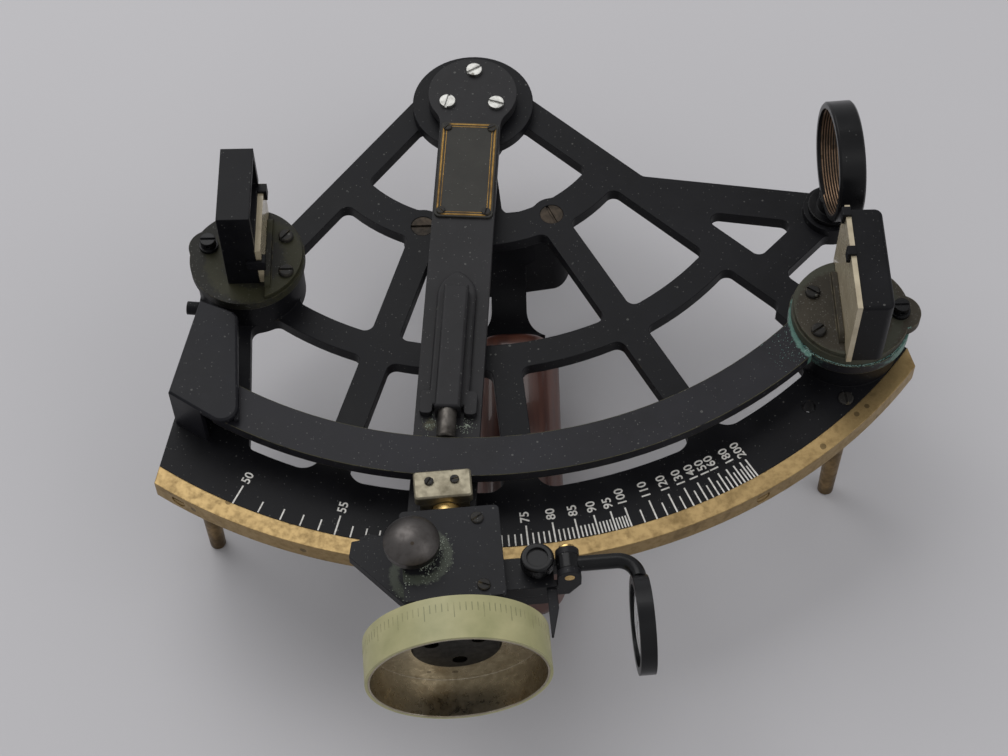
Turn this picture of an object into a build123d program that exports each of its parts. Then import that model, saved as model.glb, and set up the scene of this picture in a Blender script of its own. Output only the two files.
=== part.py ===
from build123d import *
from math import asin, atan2, cos, degrees, hypot, radians, sin, sqrt
import os

os.makedirs("parts", exist_ok=True)

# Sector-frame stadimeter lying face up on its three feet, sizes in millimetres.
# X runs along the telescope's line of sight, Y from the scale to the arm pivot, Z up.
# The origin is on the index arm's pivot axis, in the plane of the feet.
# Bearings are degrees about the pivot from the -Y direction, positive towards +X,
# and levels are heights above the face of the scale limb.

# Levels
limb_top = 57.0
rib_thickness = 4.6
limb_thickness = 6.6
pivot_boss_rise = 3.9
horizon_seat_level = 11.0
lever_level = 10.2
lever_thickness = 4.0
ring_boss_rise = 3.0

# Clearances
running_gap = 0.05
seat_gap = 0.05
free_gap = 0.3
guide_gap = 0.3

# Scale limb and its brass rim
rim_radius = 178.0
rim_width = 5.7
rim_height = 7.1
rim_proud = 0.05
limb_width = 25.0
limb_left_bearing = -36.5
limb_right_bearing = 53.4
limb_left_cut_inset = 23.3
limb_left_cut_inner_bearing = -38.0
rim_left_cut_bearing = -34.3
rim_right_cut_bearing = 51.95
rim_right_cut_inner_bearing = 53.45
rim_screw_bearings = (-31.5, 29.7)
rim_screw_level = -3.5
sight_hole_radius = 2.2
sight_hole_inset = 15.6453
sight_hole_bearing = 40.2032

# Ribs, spokes and limbs of the frame
inner_rib_radius = 47.0
inner_rib_width = 11.5
outer_rib_radius = 98.5
outer_rib_width = 9.3
hub_radius = 20.8
hub_web_radius = 16.5
hub_foot_radius = 12.8
hub_depth = 12.0
spoke_width = 9.4
left_spoke_bearing = -17.5
middle_spoke_bearing = 5.2
right_spoke_bearing = 28.2
left_limb_width = 9.2
right_limb_width = 10.4
strut_width = 10.3
window_corner = 3.0
strip_foot = 19.0
limb_window_corner = 6.0

# Places on the frame
horizon_x = -73.5
horizon_y = -71.5
index_inset = 23.2663579
index_bearing = 49.9810819
ring_x = 119.3
ring_y = -48.2
sight_bearing = 4.0
pedestal_radius = 17.4
ring_boss_radius = 9.5

# Index arm
arm_bearing = -3.9
arm_width = 20.6
arm_thickness = 3.8
arm_head_radius = 15.2
arm_neck_fillet = 8.0
arm_lift = 5.5
arm_drop = 3.1
arm_step_inset = 34.0
arm_step_run = 6.0
arm_end_inset = 7.0
pivot_radius = 8.0
pivot_flange_radius = 13.6
pivot_stud_radius = 4.0
pivot_nut_radius = 7.5
pivot_nut_height = 3.2
cap_screw_circle = 9.6
cap_screw_radius = 1.5
cap_screw_head_radius = 2.7
cap_screw_head_height = 1.2
slot_width = 0.8
slot_depth = 0.6
nameplate_width = 19.3
nameplate_length = 40.0
nameplate_thickness = 0.8
nameplate_radius = 34.0

# Plunger in its housing on the arm
housing_base_width = 12.6
housing_base_height = 2.4
housing_start_radius = 76.8
housing_arch_length = 9.5
housing_base_end_inset = 49.5
housing_end_inset = 46.6
housing_bar_wall = 1.0
housing_bar_start_radius = 85.3
housing_bar_roof = 0.65
housing_lug_width = 4.0
housing_lug_length = 8.5
housing_lug_spread = 6.9
plunger_radius = 2.95
plunger_lift = 0.1
plunger_length = 33.2
plunger_travel = 6.9

# Lever
lever_inset = 23.0
lever_width = 13.5
lever_left_bearing = -32.6
lever_boss_radius = 19.3
lever_pin_radius = 6.0
lever_stud_radius = 3.5
lever_nut_radius = 9.0
lever_nut_height = 3.0
pedestal_depth = 8.0

# Micrometer carriage, square to the drum axis
drum_bearing = 3.9
axis_x = -9.9
axis_inset = 16.0
screw_level = 11.0
screw_radius = 4.4
screw_tail = -2.75
screw_channel_inset = 1.2
carriage_left = -14.0
carriage_right = 14.6
carriage_rear = -6.0
carriage_front = -36.0
carriage_top = 17.5
cover_thickness = 1.5
cover_overhang = 1.2
keeper_thickness = 3.4
keeper_reach = 4.5
wing_left = -30.0
wing_level = 1.5
wing_thickness = 3.7
index_tab_width = 6.4
index_tab_x = -23.5
index_tab_end = -3.6
lug_length = 14.6
lug_level = 2.0
lug_thickness = 5.0
bush_wall = 0.5
bush_length = 19.0
bush_flange_width = 1.35
bush_flange_thickness = 1.0
knob_x = -10.7
knob_y = -19.3
knob_radius = 8.3
knob_neck_radius = 4.6
knob_neck_height = 3.0
knob_height = 10.5
knob_stem_radius = 2.5
knob_stem_length = 9.0

# Contact shoe that the screw feeds inward
shoe_width = 15.0
shoe_rear = -2.6
shoe_nose = 2.5
shoe_level = 6.6
shoe_cap_level = 14.5
shoe_cap_thickness = 4.0
shoe_cap_left = -9.0
shoe_cap_right = 8.5
shoe_cap_nose = 6.9

# Micrometer drum
drum_radius = 27.2
drum_length = 13.2
drum_rear = -45.5
scale_wall = 0.9
drum_wall = 0.6
drum_back_thickness = 1.2
drum_boss_radius = 9.0
drum_boss_length = 1.8
hub_disc_radius = 13.2
hub_disc_thickness = 2.0
hub_hole_radius = 2.2
hub_hole_circle = 8.0

# Magnifier on its bracket
bracket_rear = -22.0
bracket_front = -32.3
bracket_right = 30.2
bracket_thickness = 5.6
clamp_x = 25.6
clamp_y = -25.8
clamp_shank_radius = 2.0
clamp_head_radius = 4.9
clamp_head_height = 4.6
clamp_head_level = 15.0
clamp_dish_radius = 3.1
clamp_dish_depth = 0.8
fork_x = 34.5
fork_y = -27.8
fork_level = 17.0
fork_ear_radius = 3.5
fork_ear_thickness = 2.1
fork_eye_radius = 3.5
fork_eye_width = 4.6
fork_pin_radius = 1.5
fork_head_radius = 2.4
fork_head_thickness = 1.2
magnifier_tube_radius = 2.3
magnifier_bend_radius = 6.0
lens_x = 54.6
lens_y = -46.3
lens_level = 11.0
lens_ring_radius = 14.6
lens_ring_wall = 2.4
lens_ring_width = 4.7
lens_edge = 2.0
lens_bulge = 1.2
pointer_width = 3.0
pointer_shoulder = -38.7
pointer_tip = -47.8
pointer_tip_gap = 0.6
pointer_thickness = 1.2

# Mirrors
mirror_base_radius = 18.6
mirror_base_thickness = 3.2
mirror_lobe_radius = 6.6
mirror_plate_thickness = 1.6
mirror_flange_thickness = 1.8
mirror_flange_height = 4.4
mirror_flange_length = 27.0
clip_thickness = 1.0
horizon_adjuster_x = -12.6
horizon_adjuster_y = 4.5
index_adjuster_x = -15.4
index_adjuster_y = 1.1
adjuster_radius = 1.8
adjuster_flange_radius = 3.1
adjuster_flange_height = 1.2
adjuster_head_radius = 2.5
adjuster_head_height = 4.2
horizon_frame_depth = 10.3
horizon_frame_width = 28.0
horizon_frame_height = 33.8
horizon_frame_front = 4.8
horizon_frame_middle = 3.5
horizon_glass_height = 16.5
horizon_glass_thickness = 1.8
horizon_glass_front_x = 6.4
horizon_wall = 2.2
index_hood_depth = 10.0
index_hood_corner = 2.5
index_glass_thickness = 1.6
index_glass_front_x = 3.6
index_hood_width = 37.7
index_hood_height = 28.2
index_hood_wall = 1.6

# Lever guard
guard_top_level = 18.3
guard_plate_thickness = 2.0
guard_wall_thickness = 1.4
guard_corner_fillet = 4.8
guard_lip_level = 14.9
guard_stud_radius = 2.2

# Telescope ring
ring_radius = 19.5
ring_wall = 2.1
ring_width = 8.4
sight_level = 28.0
ring_stem_radius = 5.0
ring_foot_radius = 8.0
ring_foot_height = 2.0
ring_stud_radius = 3.5
ring_nut_radius = 7.0
ring_nut_height = 3.2

# Handle
grip_x = 12.2
grip_level = -21.0
grip_rear = -76.0
grip_front = -173.8
grip_width = 30.2
grip_depth = 29.0
grip_corner = 11.0
grip_end_round = 8.5
yoke_thickness = 5.0
yoke_radius = 6.8
tang_neck_width = 12.0
tang_flare_width = 24.0
tang_flare_length = 12.0
tang_x = 11.0
tang_thickness = 13.0
post_inset = 15.0
post_width = 11.0
post_length = 18.0
handle_screw_radius = 2.2
handle_screw_head_radius = 3.9
handle_screw_head_height = 1.6
handle_screw_recess = 1.7
left_seat_bearing = -19.2
right_seat_bearing = 29.4

# Feet
foot_radius = 2.6
foot_taper = 0.6
foot_collar_radius = 3.7
foot_collar_height = 4.0
left_foot_inset = 14.751
left_foot_bearing = -32.6192
right_foot_inset = 9.533
right_foot_bearing = 43.8456
hub_cap_radius = 10.6
hub_cap_depth = 7.0
hub_cap_recess_radius = 8.6

rim_inner_radius = rim_radius - rim_width
limb_inner_radius = rim_radius - limb_width
lever_outer_radius = rim_radius - lever_inset
lever_inner_radius = lever_outer_radius - lever_width
arm_step_radius = rim_radius - arm_step_inset
arm_end_radius = rim_radius - arm_end_inset
housing_base_end_radius = rim_radius - housing_base_end_inset
housing_end_radius = rim_radius - housing_end_inset
plunger_tail_radius = lever_inner_radius - free_gap - plunger_length
axis_y = axis_inset - rim_radius
post_y = post_inset - limb_inner_radius
middle_rim_radius = (limb_inner_radius + rim_inner_radius) / 2
inner_rib_middle = inner_rib_radius + inner_rib_width / 2
outer_rib_middle = outer_rib_radius + outer_rib_width / 2
arm_top = arm_lift + arm_thickness
bush_radius = screw_radius + running_gap + bush_wall
bush_flange_radius = bush_radius + bush_flange_width
plunger_level = arm_top + plunger_lift + plunger_radius
housing_bar_width = 2 * (plunger_radius + running_gap + housing_bar_wall)
housing_bar_height = plunger_lift + 2 * plunger_radius + running_gap + housing_bar_roof
on_seat = (Align.CENTER, Align.CENTER, Align.MIN)
under_seat = (Align.CENTER, Align.CENTER, Align.MAX)


def on_circle(radius, bearing):
    """Point at a radius and bearing about the arm pivot."""
    turn = radians(bearing)
    return (radius * sin(turn), -radius * cos(turn))


def crossing(start, end, radius):
    """Bearing where the line from one point to another crosses a radius."""
    run = hypot(end[0] - start[0], end[1] - start[1])
    along = ((end[0] - start[0]) / run, (end[1] - start[1]) / run)
    nearest = -(start[0] * along[0] + start[1] * along[1])
    off_line = start[0] * along[1] - start[1] * along[0]
    reach = nearest + sqrt(radius**2 - off_line**2)
    return degrees(atan2(start[0] + reach * along[0], -(start[1] + reach * along[1])))


def level_plane(level, place=(0.0, 0.0), bearing=0.0):
    """Horizontal plane at a level, its -Y turned to a bearing."""
    turn = radians(bearing)
    origin = (place[0], place[1], limb_top + level)
    return Plane(origin=origin, x_dir=(cos(turn), sin(turn), 0), z_dir=(0, 0, 1))


def arm_plane(level):
    return level_plane(level, bearing=arm_bearing)


def drum_plane(level):
    return level_plane(level, (axis_x, axis_y), drum_bearing)


def drum_point(x, y):
    """Point given square to the drum axis, in the frame's own directions."""
    turn = radians(drum_bearing)
    return (axis_x + x * cos(turn) - y * sin(turn), axis_y + x * sin(turn) + y * cos(turn))


def drum_axis_plane(x, y, level):
    """Plane square to the drum axis that faces the drum's open mouth."""
    turn = radians(drum_bearing)
    place = drum_point(x, y)
    origin = (place[0], place[1], limb_top + level)
    return Plane(origin=origin, x_dir=(cos(turn), sin(turn), 0), z_dir=(sin(turn), -cos(turn), 0))


def radial_plane(radius, bearing, level):
    """Plane at a radius that faces straight away from the pivot."""
    turn = radians(bearing)
    place = on_circle(radius, bearing)
    origin = (place[0], place[1], limb_top + level)
    return Plane(origin=origin, x_dir=(cos(turn), sin(turn), 0), z_dir=(sin(turn), -cos(turn), 0))


def side_plane(bearing, place=(0.0, 0.0)):
    """Upright plane along a bearing: its X runs outward and its Y runs up."""
    turn = radians(bearing)
    origin = (place[0], place[1], limb_top)
    return Plane(origin=origin, x_dir=(sin(turn), -cos(turn), 0), z_dir=(-cos(turn), -sin(turn), 0))


def outline(*points):
    """Straight-sided face through the given points."""
    with BuildSketch() as face:
        with BuildLine():
            Polyline(*points, close=True)
        make_face()
    return face.sketch


def sector(outer, inner, start, stop):
    """Face between two radii and two bearings about the pivot."""
    middle = (start + stop) / 2
    with BuildSketch() as face:
        with BuildLine():
            left = Line(on_circle(inner, start), on_circle(outer, start))
            outer_arc = ThreePointArc(left @ 1, on_circle(outer, middle), on_circle(outer, stop))
            right = Line(outer_arc @ 1, on_circle(inner, stop))
            ThreePointArc(right @ 1, on_circle(inner, middle), left @ 0)
        make_face()
    return face.sketch


def spoke(bearing, inner, outer, width):
    """Straight radial bar as a face."""
    with BuildSketch() as bar:
        with Locations(Location((0, 0, 0), (0, 0, bearing))):
            with Locations((0, -(inner + outer) / 2)):
                Rectangle(width, outer - inner)
    return bar.sketch


def bar_face(start, end, width):
    """Straight bar between two points as a face."""
    run = hypot(end[0] - start[0], end[1] - start[1])
    turn = degrees(atan2(end[1] - start[1], end[0] - start[0]))
    middle = ((start[0] + end[0]) / 2, (start[1] + end[1]) / 2, 0)
    with BuildSketch() as bar:
        with Locations(Location(middle, (0, 0, turn))):
            Rectangle(run, width)
    return bar.sketch


def round_piece(plane, radius, height, bore=0.0):
    """Round piece standing on a plane, with an optional bore."""
    with BuildPart(plane) as piece:
        Cylinder(radius, height, align=on_seat)
        if bore:
            Cylinder(bore, height, align=on_seat, mode=Mode.SUBTRACT)
    return piece.part


def slotted_screw(plane, head_radius, head_height, shank_radius, shank_length, turn=0.0):
    """Cheese-head screw seated on a plane, its shank below it."""
    with BuildPart(plane) as screw:
        Cylinder(head_radius, head_height, align=on_seat)
        Cylinder(shank_radius, shank_length, align=under_seat)
        with Locations((0, 0, head_height)):
            Box(2 * head_radius + 1, slot_width, 2 * slot_depth, rotation=(0, 0, turn), mode=Mode.SUBTRACT)
    return screw.part


def save(piece, name):
    piece.label = name
    export_step(piece, f"parts/{name}.step")


# Frame: one casting of limbs, ribs and spokes, with a raised seat for each thing it carries
horizon_place = (horizon_x, horizon_y)
index_place = on_circle(rim_radius - index_inset, index_bearing)
index_x = round(index_place[0], 2)
index_y = round(index_place[1], 2)
index_place = (index_x, index_y)
ring_place = (ring_x, ring_y)
handle_seats = (on_circle(inner_rib_middle, left_seat_bearing), on_circle(inner_rib_middle,
    right_seat_bearing))
left_limb_start = (-15.8, 3.1)
right_limb_start = (14.5, 2.5)
right_limb_end = (index_x - 14.5, index_y + 17.5)
left_cut = (on_circle(rim_radius - limb_left_cut_inset, limb_left_cut_inner_bearing),
    on_circle(rim_radius, rim_left_cut_bearing))
right_cut = (on_circle(rim_inner_radius, rim_right_cut_inner_bearing), on_circle(rim_radius,
    rim_right_cut_bearing))
inner_rib_outer = inner_rib_radius + inner_rib_width
outer_rib_outer = outer_rib_radius + outer_rib_width


def beyond(line, side, back=0):
    """Large face on one side of a line, to cut the limb's end straight."""
    run = (line[1][0] - line[0][0], line[1][1] - line[0][1])
    start = (line[0][0] - back * run[0], line[0][1] - back * run[1])
    end = (line[1][0] + 2 * run[0], line[1][1] + 2 * run[1])
    return outline(start, end, (end[0] + side * 30, end[1]), (start[0] + side * 30, start[1]))


with BuildSketch() as casting:
    Circle(hub_web_radius)
    add(bar_face(left_limb_start, horizon_place, left_limb_width))
    add(bar_face(right_limb_start, right_limb_end, right_limb_width))
    add(bar_face(right_limb_end, index_place, right_limb_width + 6))
    add(outline(
        (horizon_x - 16.5, horizon_y - 4.5), (horizon_x, horizon_y - 4.5),
        (horizon_x + 2, strip_foot - limb_inner_radius), on_circle(middle_rim_radius, -28),
        on_circle(rim_inner_radius - 1, limb_left_bearing),
        left_cut[0],
    ))
    add(outline(
        (index_x - 14.5, index_y + 11.5), (index_x - 13, index_y - 13.5), on_circle(middle_rim_radius, 44),
        on_circle(rim_inner_radius - 1, limb_right_bearing), (index_x + 17.5, index_y), index_place,
    ))
    add(outline(
        (ring_x - 61.3, ring_y + 17.4), (ring_x - 6, ring_y + 8.8), ring_place, (ring_x - 10.3, ring_y - 3.1),
        (ring_x - 41.3, ring_y + 1.9), (ring_x - 53.3, ring_y + 1.2),
    ))
    add(bar_face((index_x - 23.5, index_y + 27.5), (ring_x - 4, ring_y - 3), strut_width))
    add(sector(
        inner_rib_outer, inner_rib_radius, crossing(left_limb_start, horizon_place, inner_rib_middle),
        crossing(right_limb_start, right_limb_end, inner_rib_middle),
    ))
    add(sector(
        outer_rib_outer, outer_rib_radius, crossing((0, 0), horizon_place, outer_rib_radius) + 2,
        crossing(right_limb_start, right_limb_end, outer_rib_middle),
    ))
    add(spoke(middle_spoke_bearing, hub_web_radius - 2, inner_rib_radius + 2, spoke_width + 1))
    for bearing in (left_spoke_bearing, right_spoke_bearing):
        add(spoke(bearing, inner_rib_radius + 4, limb_inner_radius + 4, spoke_width))
    add(spoke(middle_spoke_bearing, outer_rib_radius + 4, limb_inner_radius + 4, spoke_width))
    with Locations(*handle_seats):
        Circle(yoke_radius)
    with Locations(horizon_place, index_place):
        Circle(pedestal_radius)
    with Locations(ring_place):
        Circle(ring_boss_radius)
    add(sector(rim_inner_radius - seat_gap, limb_inner_radius, limb_left_bearing, limb_right_bearing))
    add(beyond(left_cut, -1), mode=Mode.SUBTRACT)

with BuildSketch() as limb_corners:
    add(casting.sketch)
    offset(amount=limb_window_corner, kind=Kind.ARC)
    offset(amount=-limb_window_corner, kind=Kind.ARC)
    add(sector(limb_inner_radius + 2, limb_inner_radius - 14, -24, 40), mode=Mode.INTERSECT)

with BuildSketch() as rounded_casting:
    add(casting.sketch)
    offset(amount=window_corner, kind=Kind.ARC)
    offset(amount=-window_corner, kind=Kind.ARC)
    add(limb_corners.sketch)

print("frame windows", len(rounded_casting.sketch.face().inner_wires()))

with BuildPart() as frame:
    with BuildSketch(level_plane(-rib_thickness)):
        add(rounded_casting.sketch)
    extrude(amount=rib_thickness)
    with BuildSketch(level_plane(-limb_thickness)):
        add(sector(rim_inner_radius - seat_gap, limb_inner_radius, limb_left_bearing, limb_right_bearing))
        add(beyond(left_cut, -1), mode=Mode.SUBTRACT)
    extrude(amount=limb_thickness)
    with BuildSketch(level_plane(-hub_depth)):
        Circle(hub_foot_radius)
    extrude(amount=hub_depth)
    with BuildSketch(level_plane(0)):
        Circle(hub_radius)
    extrude(amount=pivot_boss_rise)
    with BuildSketch(level_plane(0)):
        with Locations(horizon_place):
            Circle(pedestal_radius)
    extrude(amount=horizon_seat_level)
    with BuildSketch(level_plane(-pedestal_depth)):
        with Locations(index_place):
            Circle(pedestal_radius - 5)
    extrude(amount=pedestal_depth)
    with BuildSketch(level_plane(0)):
        with Locations(index_place):
            Circle(pedestal_radius)
    extrude(amount=lever_level - free_gap)
    with BuildSketch(level_plane(0)):
        with Locations(ring_place):
            Circle(ring_boss_radius)
    extrude(amount=ring_boss_rise)
    add(round_piece(level_plane(-hub_depth), pivot_radius + running_gap, 20), mode=Mode.SUBTRACT)
    add(round_piece(level_plane(-pedestal_depth, index_place), lever_pin_radius + running_gap, 20),
        mode=Mode.SUBTRACT)
    add(round_piece(level_plane(-rib_thickness, ring_place), ring_stud_radius + seat_gap, 10),
        mode=Mode.SUBTRACT)
    add(round_piece(level_plane(-limb_thickness, on_circle(rim_radius - sight_hole_inset,
        sight_hole_bearing)), sight_hole_radius, 10), mode=Mode.SUBTRACT)
    for place in handle_seats:
        add(round_piece(level_plane(-rib_thickness, place), handle_screw_radius + seat_gap, 6),
            mode=Mode.SUBTRACT)
        add(round_piece(level_plane(-handle_screw_recess, place), handle_screw_head_radius + seat_gap,
            6), mode=Mode.SUBTRACT)
    for bearing in rim_screw_bearings:
        with Locations(radial_plane(rim_inner_radius, bearing, rim_screw_level)):
            Hole(1.4 + seat_gap, depth=5)
save(frame.part, "frame")

# Brass rim let into the edge of the limb, with counterbored screws through its outer face
with BuildPart() as scale_rim:
    with BuildSketch(level_plane(-rim_height)):
        add(sector(rim_radius, rim_inner_radius, limb_left_bearing, rim_right_cut_inner_bearing + 1))
        add(beyond(left_cut, -1), mode=Mode.SUBTRACT)
        add(beyond(right_cut, 1, 2), mode=Mode.SUBTRACT)
    extrude(amount=rim_height + rim_proud)
    for bearing in rim_screw_bearings:
        with Locations(radial_plane(rim_radius, bearing, rim_screw_level)):
            CounterBoreHole(1.4 + seat_gap, 2.4, 1.6, depth=8)
save(scale_rim.part, "scale_rim")

with BuildPart() as rim_screws:
    for bearing in rim_screw_bearings:
        seat = radial_plane(rim_radius - 1.6, bearing, rim_screw_level)
        add(slotted_screw(seat, 2.3, 1.3, 1.4, 8.0))
save(rim_screws.part, "rim_screws")

# Cap under the hub that covers the arm's nut and carries the rear leg
with BuildPart(level_plane(-hub_depth)) as hub_cap:
    Cylinder(hub_cap_radius, hub_cap_depth, align=under_seat)
    Cylinder(hub_cap_recess_radius, hub_cap_depth - 2, align=under_seat, mode=Mode.SUBTRACT)
    chamfer(hub_cap.edges().filter_by(GeomType.CIRCLE).group_by(Axis.Z)[0], 1.2)
save(hub_cap.part, "hub_cap")


def foot_post(place, seat_level):
    """Tapered leg from the table up to its seat, with a collar at the seat."""
    length = limb_top + seat_level
    with BuildPart(Plane((place[0], place[1], 0))) as post:
        Cone(foot_radius, foot_radius + foot_taper, length - foot_collar_height, align=on_seat)
        with Locations((0, 0, length)):
            Cylinder(foot_collar_radius, foot_collar_height, align=under_seat)
        chamfer(post.edges().filter_by(GeomType.CIRCLE).group_by(Axis.Z)[0], 0.5)
    return post.part


rear_leg = foot_post((0, 0), -hub_depth - hub_cap_depth)
save(rear_leg, "rear_leg")
left_leg = foot_post(on_circle(rim_radius - left_foot_inset, left_foot_bearing), -limb_thickness)
save(left_leg, "left_leg")
right_leg = foot_post(on_circle(rim_radius - right_foot_inset, right_foot_bearing), -limb_thickness)
save(right_leg, "right_leg")

# Index arm: a flat bar that steps down near its end to pass under the carriage
with BuildPart() as index_arm:
    with BuildSketch(arm_plane(0)):
        Circle(arm_head_radius)
        with Locations((0, -arm_end_radius / 2)):
            Rectangle(arm_width, arm_end_radius)
        necks = vertices().filter_by_position(Axis.Y, -arm_head_radius, -1)
        fillet(necks, arm_neck_fillet)
    extrude(amount=arm_top)
    with BuildSketch(side_plane(arm_bearing)):
        step_end = arm_step_radius + arm_step_run
        add(outline(
            (-arm_head_radius - 1, arm_lift), (arm_step_radius, arm_lift), (step_end, arm_lift - arm_drop),
            (arm_end_radius, arm_lift - arm_drop), (arm_end_radius, arm_top - arm_drop),
            (step_end, arm_top - arm_drop), (arm_step_radius, arm_top), (-arm_head_radius - 1, arm_top),
        ))
    extrude(amount=2 * arm_width, both=True, mode=Mode.INTERSECT)
    with Locations(arm_plane(arm_top)):
        with PolarLocations(cap_screw_circle, 3, start_angle=90):
            Hole(cap_screw_radius + seat_gap, depth=arm_thickness + 1)
save(index_arm.part, "index_arm")

# Pivot of the arm: a flanged journal through the hub, held by a nut inside the cap
with BuildPart(arm_plane(pivot_boss_rise + running_gap)) as arm_journal:
    Cylinder(pivot_flange_radius, arm_lift - pivot_boss_rise - running_gap, align=on_seat)
    Cylinder(pivot_radius, pivot_boss_rise + hub_depth + 2 * running_gap, align=under_seat)
    with Locations((0, 0, -(pivot_boss_rise + hub_depth + 2 * running_gap))):
        Cylinder(pivot_stud_radius, pivot_nut_height + 0.8, align=under_seat)
    with Locations((0, 0, arm_lift - pivot_boss_rise - running_gap)):
        with PolarLocations(cap_screw_circle, 3, start_angle=90):
            Hole(cap_screw_radius + seat_gap, depth=1.2)
save(arm_journal.part, "arm_journal")

pivot_nut = round_piece(
    arm_plane(-hub_depth - running_gap - pivot_nut_height), pivot_nut_radius, pivot_nut_height,
    pivot_stud_radius + seat_gap,
)
save(pivot_nut, "pivot_nut")

with BuildPart() as pivot_screws:
    for turn, slot_turn in ((0, 30), (120, 75), (240, -20)):
        place = on_circle(cap_screw_circle, 180 + arm_bearing + turn)
        seat = level_plane(arm_top, place)
        shank = arm_thickness + 0.8
        add(slotted_screw(seat, cap_screw_head_radius, cap_screw_head_height, cap_screw_radius, shank,
            slot_turn))
save(pivot_screws.part, "pivot_screws")

with BuildPart() as nameplate:
    with BuildSketch(arm_plane(arm_top)):
        with Locations((0, -nameplate_radius)):
            RectangleRounded(nameplate_width, nameplate_length, 1.8)
    extrude(amount=nameplate_thickness)
save(nameplate.part, "nameplate")

# Plunger housing: an arched base with a bored bar along it and a lug at each side of its mouth
with BuildPart() as plunger_housing:
    half_base = housing_base_width / 2
    arch_foot = -housing_start_radius - housing_arch_length
    with BuildSketch(arm_plane(arm_top)):
        with BuildLine():
            left_arch = TangentArc((-half_base, arch_foot), (0, -housing_start_radius), tangent=(0, 1))
            right_arch = TangentArc((half_base, arch_foot), (0, -housing_start_radius), tangent=(0, 1))
            Polyline(
                left_arch @ 0, (-half_base, -housing_base_end_radius), (half_base,
                -housing_base_end_radius), right_arch @ 0,
            )
        make_face()
    extrude(amount=housing_base_height)
    fillet(plunger_housing.faces().sort_by(Axis.Z)[-1].edges(), 0.9)
    with BuildSketch(arm_plane(arm_top)):
        lug_y = -housing_end_radius + housing_lug_length / 2
        with Locations((-housing_lug_spread, lug_y), (housing_lug_spread, lug_y)):
            RectangleRounded(housing_lug_width, housing_lug_length, 1.4)
    extrude(amount=housing_base_height)
    with BuildSketch(arm_plane(arm_top)):
        with Locations((0, -(housing_bar_start_radius + housing_end_radius) / 2)):
            Rectangle(housing_bar_width, housing_end_radius - housing_bar_start_radius)
    extrude(amount=housing_bar_height)
    fillet(plunger_housing.faces().sort_by(Axis.Z)[-1].edges(), 0.9)
    bore_end = plunger_tail_radius - plunger_travel - 2
    bore_seat = radial_plane(bore_end, arm_bearing, plunger_level)
    add(round_piece(bore_seat, plunger_radius + running_gap, housing_end_radius - bore_end + 1),
        mode=Mode.SUBTRACT)
save(plunger_housing.part, "plunger_housing")

with BuildPart(radial_plane(plunger_tail_radius, arm_bearing, plunger_level)) as spring_plunger:
    Cylinder(plunger_radius, plunger_length, align=on_seat)
    fillet(spring_plunger.faces().sort_by(Axis.Y)[0].edges(), 0.8)
save(spring_plunger.part, "spring_plunger")

# Lever: an arc concentric with the pivot at rest, widening into the index mirror's boss
with BuildPart() as lever:
    with BuildSketch(level_plane(lever_level)):
        add(sector(lever_outer_radius, lever_inner_radius, lever_left_bearing, 50))
        with Locations(index_place):
            Circle(lever_boss_radius)
    extrude(amount=lever_thickness)
    tips = lever.edges().filter_by(Axis.Z).sort_by(Axis.X)[0:2]
    fillet(tips, 3.0)
save(lever.part, "lever")

with BuildPart(level_plane(lever_level, index_place)) as lever_journal:
    Cylinder(lever_pin_radius, lever_level + pedestal_depth + running_gap, align=under_seat)
    with Locations((0, 0, -(lever_level + pedestal_depth + running_gap))):
        Cylinder(lever_stud_radius, lever_nut_height + 0.8, align=under_seat)
save(lever_journal.part, "lever_journal")

lever_nut = round_piece(
    level_plane(-pedestal_depth - running_gap - lever_nut_height, index_place), lever_nut_radius,
    lever_nut_height, lever_stud_radius + seat_gap,
)
save(lever_nut, "lever_nut")

# Carriage: a block on the arm's end with a skirt outside the rim, a wing for the reading
# index and a lug for the magnifier
cover_level = carriage_top - cover_thickness
skirt_level = -rim_height - guide_gap
block_level = arm_top - arm_drop
block = outline(
    (carriage_left, carriage_rear), (carriage_right, carriage_rear),
    (carriage_right, carriage_front), (carriage_left, carriage_front),
)
with BuildPart() as carriage_body:
    with BuildSketch(drum_plane(skirt_level)):
        add(block)
    extrude(amount=cover_level - skirt_level)
    with BuildSketch(level_plane(skirt_level)):
        Circle(rim_radius + guide_gap)
    extrude(amount=block_level - skirt_level, mode=Mode.SUBTRACT)
    with BuildSketch(drum_plane(wing_level)):
        add(outline(
            (wing_left, -13), (wing_left + 1, -8), (carriage_left, carriage_rear),
            (carriage_left + 1, carriage_rear), (carriage_left + 1, carriage_front + 4),
        ))
    extrude(amount=wing_thickness)
    with BuildSketch(drum_plane(lug_level)):
        add(outline(
            (carriage_right - 1, bracket_rear + 0.5), (carriage_right + lug_length, bracket_rear + 0.5),
            (carriage_right + lug_length, bracket_front), (carriage_right - 1, bracket_front),
        ))
    extrude(amount=lug_thickness)
    bush_start = carriage_front + bush_length
    add(round_piece(drum_axis_plane(0, bush_start, screw_level), bush_radius + seat_gap, bush_length + 1),
        mode=Mode.SUBTRACT)
    add(round_piece(drum_axis_plane(0, 0, screw_level), screw_radius + running_gap, 30), mode=Mode.SUBTRACT)
    with BuildSketch(drum_plane(block_level - 1)):
        with Locations((0, (carriage_rear + bush_start) / 2)):
            Rectangle(2 * screw_radius - screw_channel_inset, carriage_rear - bush_start)
    extrude(amount=screw_level - block_level + 1, mode=Mode.SUBTRACT)
    knob_seat = level_plane(carriage_top, drum_point(knob_x, knob_y))
    add(round_piece(knob_seat.offset(-knob_stem_length - 1), knob_stem_radius + running_gap, 20),
        mode=Mode.SUBTRACT)
    clamp_seat = level_plane(lug_level + 1, drum_point(clamp_x, clamp_y))
    add(round_piece(clamp_seat, clamp_shank_radius + running_gap, 10), mode=Mode.SUBTRACT)
save(carriage_body.part, "carriage_body")

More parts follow.
